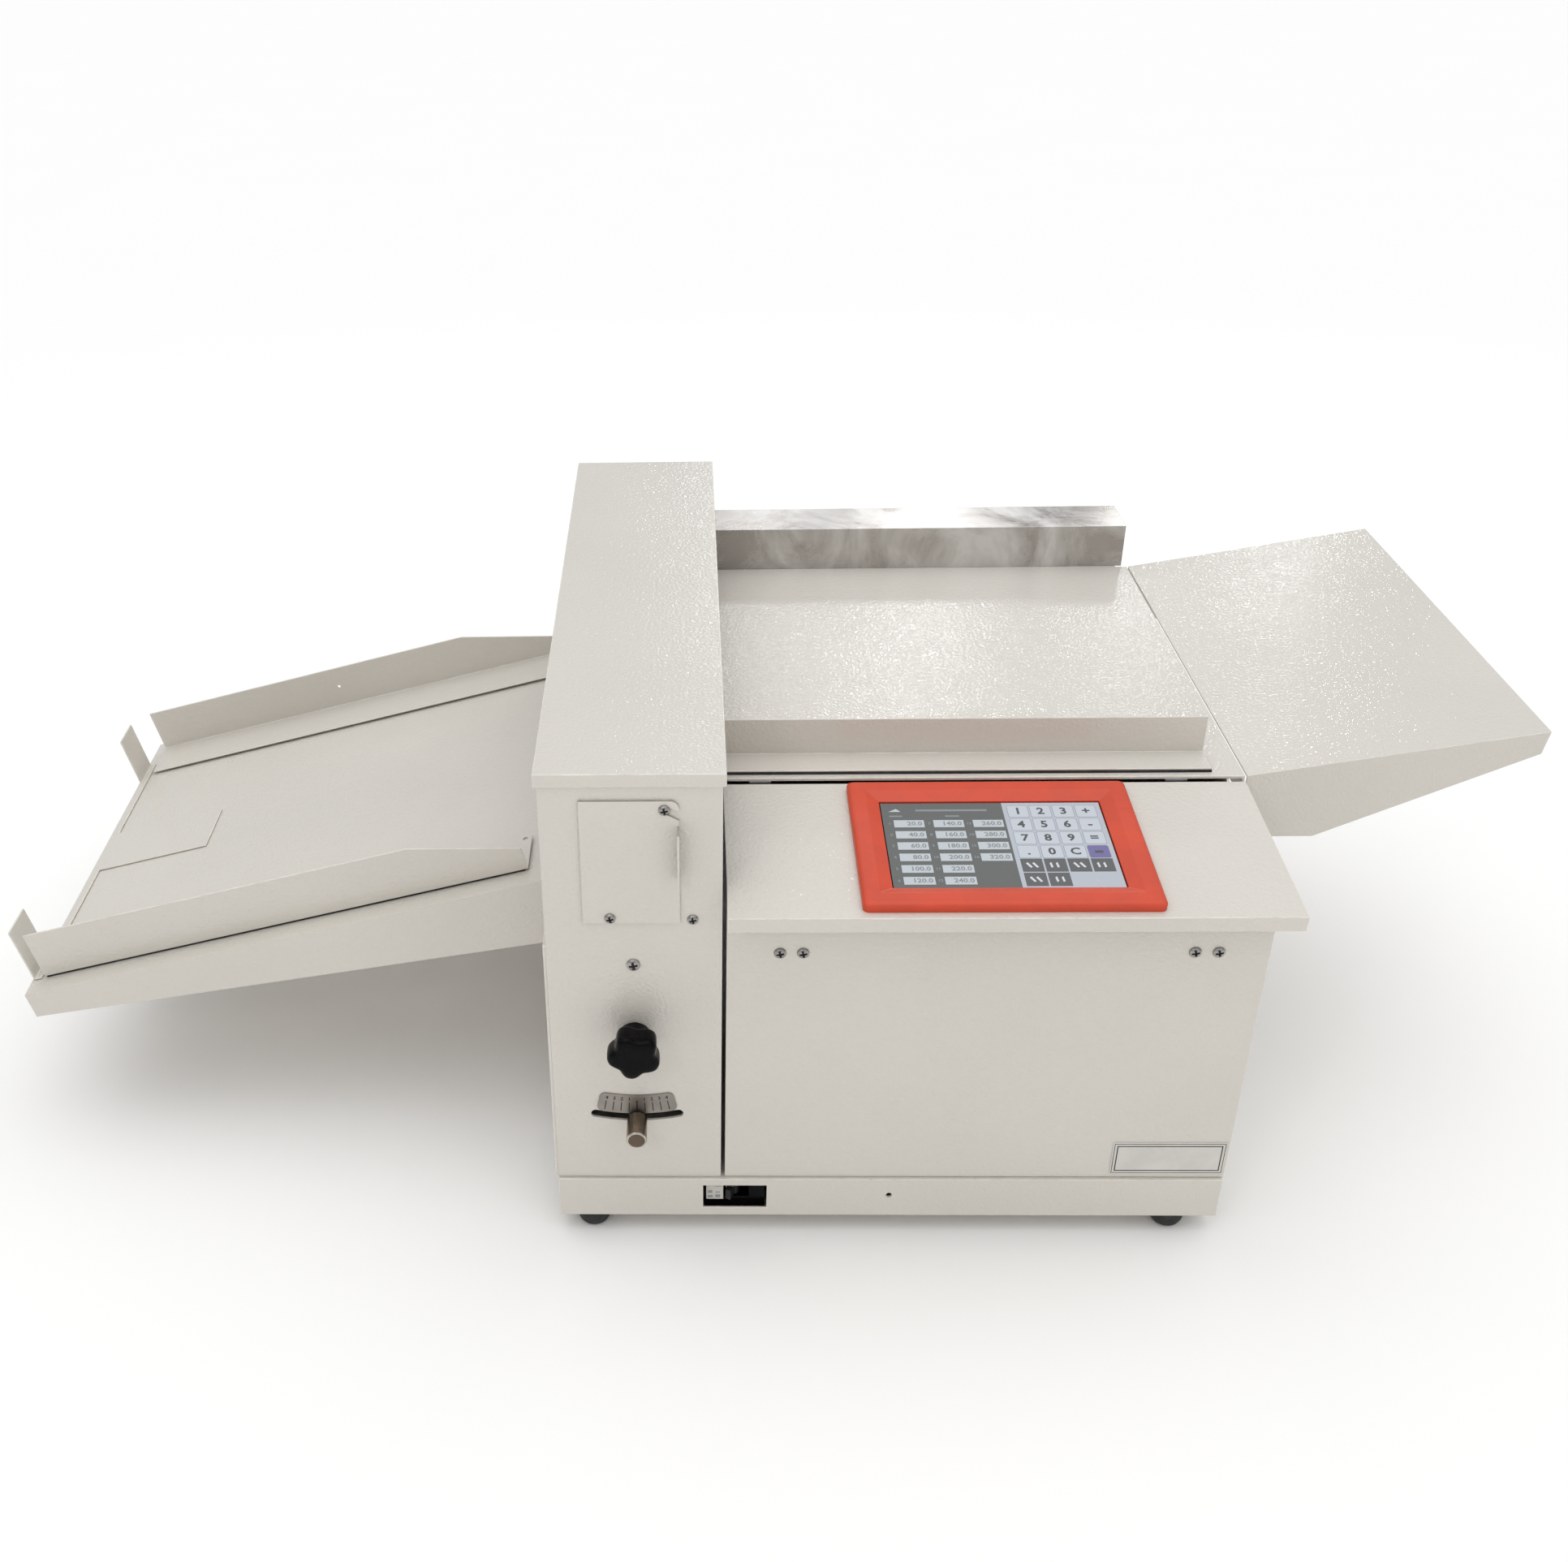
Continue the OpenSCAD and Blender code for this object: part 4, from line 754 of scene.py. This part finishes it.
def screen():
    """The display behind its panel: value boxes on a dark pane, keys and icons on a light one."""
    tilt = console_frame()
    local = [tilt.inverted() @ v.co for v in NODES["touch_screen_module"].data.vertices]
    z_top = max(p.z for p in local)
    a, b = extent([p for p in local if p.z > z_top - 0.1 * MM])
    refine("touch_screen_module", [DARK], 0.3 * MM)
    bezel(tilt, a, b, z_top)
    wide, deep = b.x - a.x, b.y - a.y
    place = tilt @ Matrix.Translation((a.x, a.y, z_top))
    mats = [display("pane_dark", (0.085, 0.09, 0.085), 0.12), display("pane_light", (0.38, 0.405, 0.45), 0.2),
            display("box_white", (0.43, 0.465, 0.49), 0.2), display("key_face", (0.45, 0.475, 0.52), 0.22),
            display("key_line", (0.23, 0.25, 0.29), 0.1), display("key_purple", (0.12, 0.10, 0.27), 0.2),
            display("figure_grey", (0.045, 0.05, 0.055), 0.05),
            display("figure_faint", (0.22, 0.23, 0.24), 0.08),
            display("icon_dark", (0.075, 0.077, 0.08), 0.1), display("icon_light", (0.52, 0.53, 0.55), 0.25)]
    dark, light, box, key, line, purple, ink, faint, icon, icon_lit = range(len(mats))
    film, figure_z = 0.03 * MM, 0.1 * MM
    bm = bmesh.new()

    def tile(x0, x1, y0, y1, layer, material, corner=0.0):
        prism(bm, rounded(x0, x1, y0, y1, corner), layer * film, (layer + 1) * film, place, material)

    split = 0.555 * wide
    tile(0, split, 0, deep, 1, dark)
    tile(split, wide, 0, deep, 1, light)

    # the dark pane: columns of numbered value boxes under three plain bars and a sign
    box_w, box_h, column_step, row_step = 21 * MM, 8.2 * MM, 27.5 * MM, 12.6 * MM
    for c, count in enumerate((6, 6, 4)):
        for r in range(count):
            x, y = 7.5 * MM + c * column_step, deep - 28 * MM - r * row_step
            middle = y + box_h / 2
            tile(x, x + box_w, y, y + box_h, 2, box)
            value = 20 * (r + 1) + 120 * c
            glyphs(bm, f"{value}.0", 6.2 * MM, x + box_w - 1.4 * MM, middle, figure_z, place, faint, "RIGHT")
            glyphs(bm, str(r + 1 + 6 * c), 3.6 * MM, x - 3 * MM, middle, figure_z, place, faint)
    for x0, x1, below, above in ((24, 74, 9.6, 7.4), (5, 14, 16, 14.4), (44, 54, 16, 14.4)):
        tile(x0 * MM, x1 * MM, deep - below * MM, deep - above * MM, 2, faint)
    prism(bm, [(5 * MM, deep - 10 * MM), (13.5 * MM, deep - 10 * MM), (10.5 * MM, deep - 6.6 * MM)],
          2 * film, figure_z, place, box)

    # the light pane: four rows of keys
    keys_left, keys_top, gap, border = split + 3 * MM, deep - 2.4 * MM, 1.2 * MM, 0.35 * MM
    key_w, key_h = (wide - split - 5 * MM) / 4, 15.3 * MM
    for r, row in enumerate(("123+", "456-", "789=", ".0C ")):
        for c, sign in enumerate(row):
            x, y = keys_left + c * key_w, keys_top - (r + 1) * key_h
            x1, y0, y1 = x + key_w - gap, y + 0.6 * MM, y + key_h - 0.8 * MM
            tile(x, x1, y0, y1, 2, line, 1.6 * MM)
            tile(x + border, x1 - border, y0 + border, y1 - border, 3, key if sign.strip() else purple,
                 1.3 * MM)
            if sign.strip():
                glyphs(bm, sign, 10.2 * MM, (x + x1) / 2, y + key_h / 2, 0.14 * MM, place, ink)
            else:
                tile(x + 4.5 * MM, x1 - 4.5 * MM, y + 6 * MM, y + 8.6 * MM, 4, ink)

    # six dark icons under the keys, each with two leaning strokes
    icon_h = 14.2 * MM
    for r, count in enumerate((4, 2)):
        for c in range(count):
            x, y1 = keys_left + c * key_w, keys_top - 4 * key_h - r * (icon_h + 1 * MM)
            y0 = max(0.3 * MM, y1 - icon_h)
            tile(x, x + key_w - gap, y0, y1, 2, icon)
            high = y1 - y0
            low, lean = y0 + 0.3 * high, (2.6 - 2.0 * (c % 2)) * MM
            for s in range(2):
                left = x + (3.2 + 4.2 * s + 1.1 * c * r) * MM
                right = left + 1.4 * MM
                prism(bm, [(left, low + 0.34 * high), (right, low + 0.42 * high),
                           (right + lean, low + 0.06 * high), (left + lean, low)],
                      figure_z, figure_z + film, place, icon_lit)
    finish_piece("display_picture", bm, mats, "machine")


# ---------- base ----------
def feet():
    """Domed rubber feet."""
    arc_steps = 8
    turns = [math.pi / 2 * i / arc_steps for i in range(arc_steps + 1)]
    bm = bmesh.new()
    for group in islands("rubber_feet"):
        a, b = extent(group)
        r, h = (b.x - a.x) / 2, b.z - a.z
        place = Matrix.Translation(((a.x + b.x) / 2, (a.y + b.y) / 2, 0))
        arc = [((0.62 + 0.38 * math.sin(t)) * r, 0.66 * (1 - math.cos(t)) * h) for t in turns]
        lathe(bm, [(0, 0), (0.45 * r, 0), *arc, (r, 0.9 * h), (0.96 * r, h), (0, h)], place, 56)
    finish_piece("domed_feet", bm, [RUBBER], "machine", ("rubber_feet",),
                 crease=50)


def breaker():
    """The breaker's sticker with plain bars, three terminals and the toggle, behind the skirt's window."""
    refine("breaker_toggle", [DARK], 0.4 * MM)
    a, b = lo("breaker_body"), hi("breaker_body")
    place = facing_front(0, a.y, 0)
    film, ink_top = 0.12 * MM, 0.16 * MM
    x0, z0 = a.x + 1.4 * MM, b.z - 18.5 * MM
    bm = bmesh.new()
    prism(bm, rounded(x0, x0 + 12.6 * MM, z0, z0 + 15 * MM, 0.4 * MM), 0, film, place)
    # (left, bottom, width, height) of each bar on the sticker, in mm
    for x, z, w, h in ((1.2, 1.6, 3.6, 2.2), (1.2, 6.2, 3.4, 2.6), (6.8, 1.6, 3.6, 3.0), (6.8, 6.4, 3.4, 1.0),
                       (6.8, 12.4, 4.6, 0.6)):
        left, low = x0 + x * MM, z0 + z * MM
        prism(bm, rounded(left, left + w * MM, low, low + h * MM, 0), film, ink_top, place, 1)
    for i in range(3):
        lathe(bm, [(0, 0.5 * MM), (0.55 * MM, 0.45 * MM), (0.7 * MM, 0)],
              facing_front(x0 + (15 + 2.2 * i) * MM, a.y, z0 + 12.6 * MM), 16, 2)
    finish_piece("breaker_sticker", bm, [LABEL, PALE_INK, BRASS], "machine")


def plate_border():
    """The name plate, blank, with a thin double border."""
    refine("name_plate", [LABEL], 0.15 * MM)
    a, b = lo("name_plate"), hi("name_plate")
    place = facing_front(0, a.y, 0)
    bm = bmesh.new()
    for inset, w in ((1.0 * MM, 0.45 * MM), (3.0 * MM, 0.8 * MM)):
        x0, x1, z0, z1 = a.x + inset, b.x - inset, a.z + inset, b.z - inset
        for box in ((x0, x1, z0, z0 + w), (x0, x1, z1 - w, z1), (x0, x0 + w, z0 + w, z1 - w),
                    (x1 - w, x1, z0 + w, z1 - w)):
            prism(bm, rounded(*box, 0), 0, 0.05 * MM, place)
    finish_piece("name_plate_border", bm, [INK], "machine")


def inlet_pins():
    """Three flat pins in the mains inlet."""
    centre = mid("mains_inlet")
    root = hi("mains_inlet").y - 18.8 * MM
    half_w, half_h, length = 1 * MM, 2 * MM, 14.5 * MM
    bm = bmesh.new()
    for x, z in ((0, 5.5 * MM), (-5 * MM, -5.5 * MM), (5 * MM, -5.5 * MM)):
        place = Matrix.Translation((centre.x + x, root, centre.z + z)) @ Matrix.Rotation(-math.pi / 2, 4, "X")
        prism(bm, rounded(-half_w, half_w, -half_h, half_h, 0.7 * MM), 0, length, place)
    finish_piece("inlet_pins", bm, [CHROME], "machine", crease=30, bevel=0.3 * MM)


# ---------- springs ----------
def springs():
    """Two wire helices round the guide columns, with closed ends."""
    coils = {}
    for group in islands("return_springs"):
        a, b = extent(group)
        coils.setdefault(round((a.y + b.y) / 2, 3), []).extend(group)
    wire, sides, turns, per_turn, closing = 0.9 * MM, 12, 6.5, 40, 0.06
    count = int(turns * per_turn)
    bm = bmesh.new()
    for points in coils.values():
        a, b = extent(points)
        centre, radius = (a + b) / 2, (b.x - a.x) / 2 - wire
        loops = []
        for i in range(count + 1):
            t = i / count
            rise = t + closing * math.sin(TAU * t)
            z = a.z + wire + (b.z - a.z - 2 * wire) * min(1.0, max(0.0, rise))
            angle = TAU * turns * t
            out = Vector((math.cos(angle), math.sin(angle), 0))
            at = Vector((centre.x, centre.y, z)) + out * radius
            section = [around(wire, k, sides) for k in range(sides)]
            loops.append([bm.verts.new(at + out * u + Vector((0, 0, v))) for u, v in section])
        caps = [[bm.verts.new(sum((v.co for v in loop), Vector()) / sides)] for loop in (loops[0], loops[-1])]
        skin(bm, [caps[0], *loops, caps[1]])
    piece = finish_piece("spring_coils", bm, [CHROME], "die",
                         ("return_springs",), crease=60)
    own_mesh(piece)


rollers()
motors()
board()
front_screws()
knob()
handle()
scale()
screen()
feet()
breaker()
plate_border()
inlet_pins()
springs()


# ---------- stage, light and camera ----------
def floor():
    """A wide pale ground just under the feet."""
    half_size, drop = 120.0, 0.5 * MM
    bm = bmesh.new()
    bmesh.ops.create_grid(bm, x_segments=24, y_segments=24, size=half_size)
    mesh = bpy.data.meshes.new("floor")
    bm.to_mesh(mesh)
    bm.free()
    g = Graph("pale_floor")
    pale = g.mix(g.noise(3, 3), (0.97, 0.955, 0.94), (0.96, 0.945, 0.93))
    g.set(Base_Color=pale, Roughness=0.9, Specular_IOR_Level=0.0)
    mesh.materials.append(g.mat)
    made = bpy.data.objects.new("floor", mesh)
    bpy.context.scene.collection.objects.link(made)
    made.location.z = -drop


def softbox(name, at, target, size, watts, tone=(1, 1, 1)):
    """A rectangular lamp aimed at a place."""
    data = bpy.data.lights.new(name, "AREA")
    data.shape, data.size, data.size_y, data.energy, data.color = "RECTANGLE", *size, watts, tone
    lamp = bpy.data.objects.new(name, data)
    bpy.context.scene.collection.objects.link(lamp)
    lamp.location = at
    lamp.rotation_euler = (Vector(target) - Vector(at)).to_track_quat("-Z", "Y").to_euler()


def studio():
    """A plain overcast sky, brightest overhead, with small lamps behind and soft ones in front."""
    sky_top, sky_low, falloff = 1.65, 0.5, 4.0  # added strength overhead, strength at the horizon, power of Z
    world = bpy.data.worlds.new("studio")
    world.use_nodes = True
    nodes, links = world.node_tree.nodes, world.node_tree.links
    sky = nodes["Background"]
    coord = nodes.new("ShaderNodeTexCoord")
    split = nodes.new("ShaderNodeSeparateXYZ")
    power = nodes.new("ShaderNodeMath")
    power.operation = "POWER"
    power.inputs[1].default_value = falloff
    power.use_clamp = True
    scale_up = nodes.new("ShaderNodeMath")
    scale_up.operation = "MULTIPLY_ADD"
    scale_up.inputs[1].default_value = sky_top
    scale_up.inputs[2].default_value = sky_low
    links.new(coord.outputs["Generated"], split.inputs[0])
    links.new(split.outputs["Z"], power.inputs[0])
    links.new(power.outputs[0], scale_up.inputs[0])
    links.new(scale_up.outputs[0], sky.inputs["Strength"])
    sky.inputs["Color"].default_value = (0.965, 0.985, 1.0, 1)
    bpy.context.scene.world = world
    # (x and y of the lamp, x of the place it is aimed at, watts)
    for x, y, aim, watts in ((0.39, 1.65, 0.151, 0.95), (0.84, 1.83, 0.35, 0.75), (0.08, 1.65, 0.015, 0.45)):
        softbox("back_window", (x, y, 1.1), (aim, 0.1, 0.32), (0.08, 0.12), watts)
    warm = (1, 0.95, 0.89)
    softbox("front_right", (1.3, -1.9, 1.0), (0.25, -0.27, 0.2), (0.6, 0.6), 1.5, warm)
    softbox("front_left", (-0.9, -1.9, 1.6), (0, -0.27, 0.2), (0.3, 0.3), 3, warm)
    bpy.context.scene.view_settings.view_transform = "Standard"


def camera():
    """The camera in front of and above the machine, in metres and degrees."""
    at = (-0.03881, -1.18706, 0.94268)
    pitch, yaw, roll = math.radians(-30.2), math.radians(-2.1), math.radians(1.4)
    data = bpy.data.cameras.new("camera")
    data.sensor_width = 36
    data.lens = 38.54
    data.shift_x, data.shift_y = 0.0958, -0.0114
    view = bpy.data.objects.new("camera", data)
    bpy.context.scene.collection.objects.link(view)
    forward = Vector((math.sin(yaw) * math.cos(pitch), math.cos(yaw) * math.cos(pitch), math.sin(pitch)))
    right = Vector((math.cos(yaw), -math.sin(yaw), 0))
    down = forward.cross(right)
    turned_right = right * math.cos(roll) + down * math.sin(roll)
    turned_down = -right * math.sin(roll) + down * math.cos(roll)
    axes = Matrix((turned_right, -turned_down, -forward)).transposed()
    view.matrix_world = Matrix.Translation(at) @ axes.to_4x4()
    bpy.context.scene.camera = view


floor()
studio()
camera()
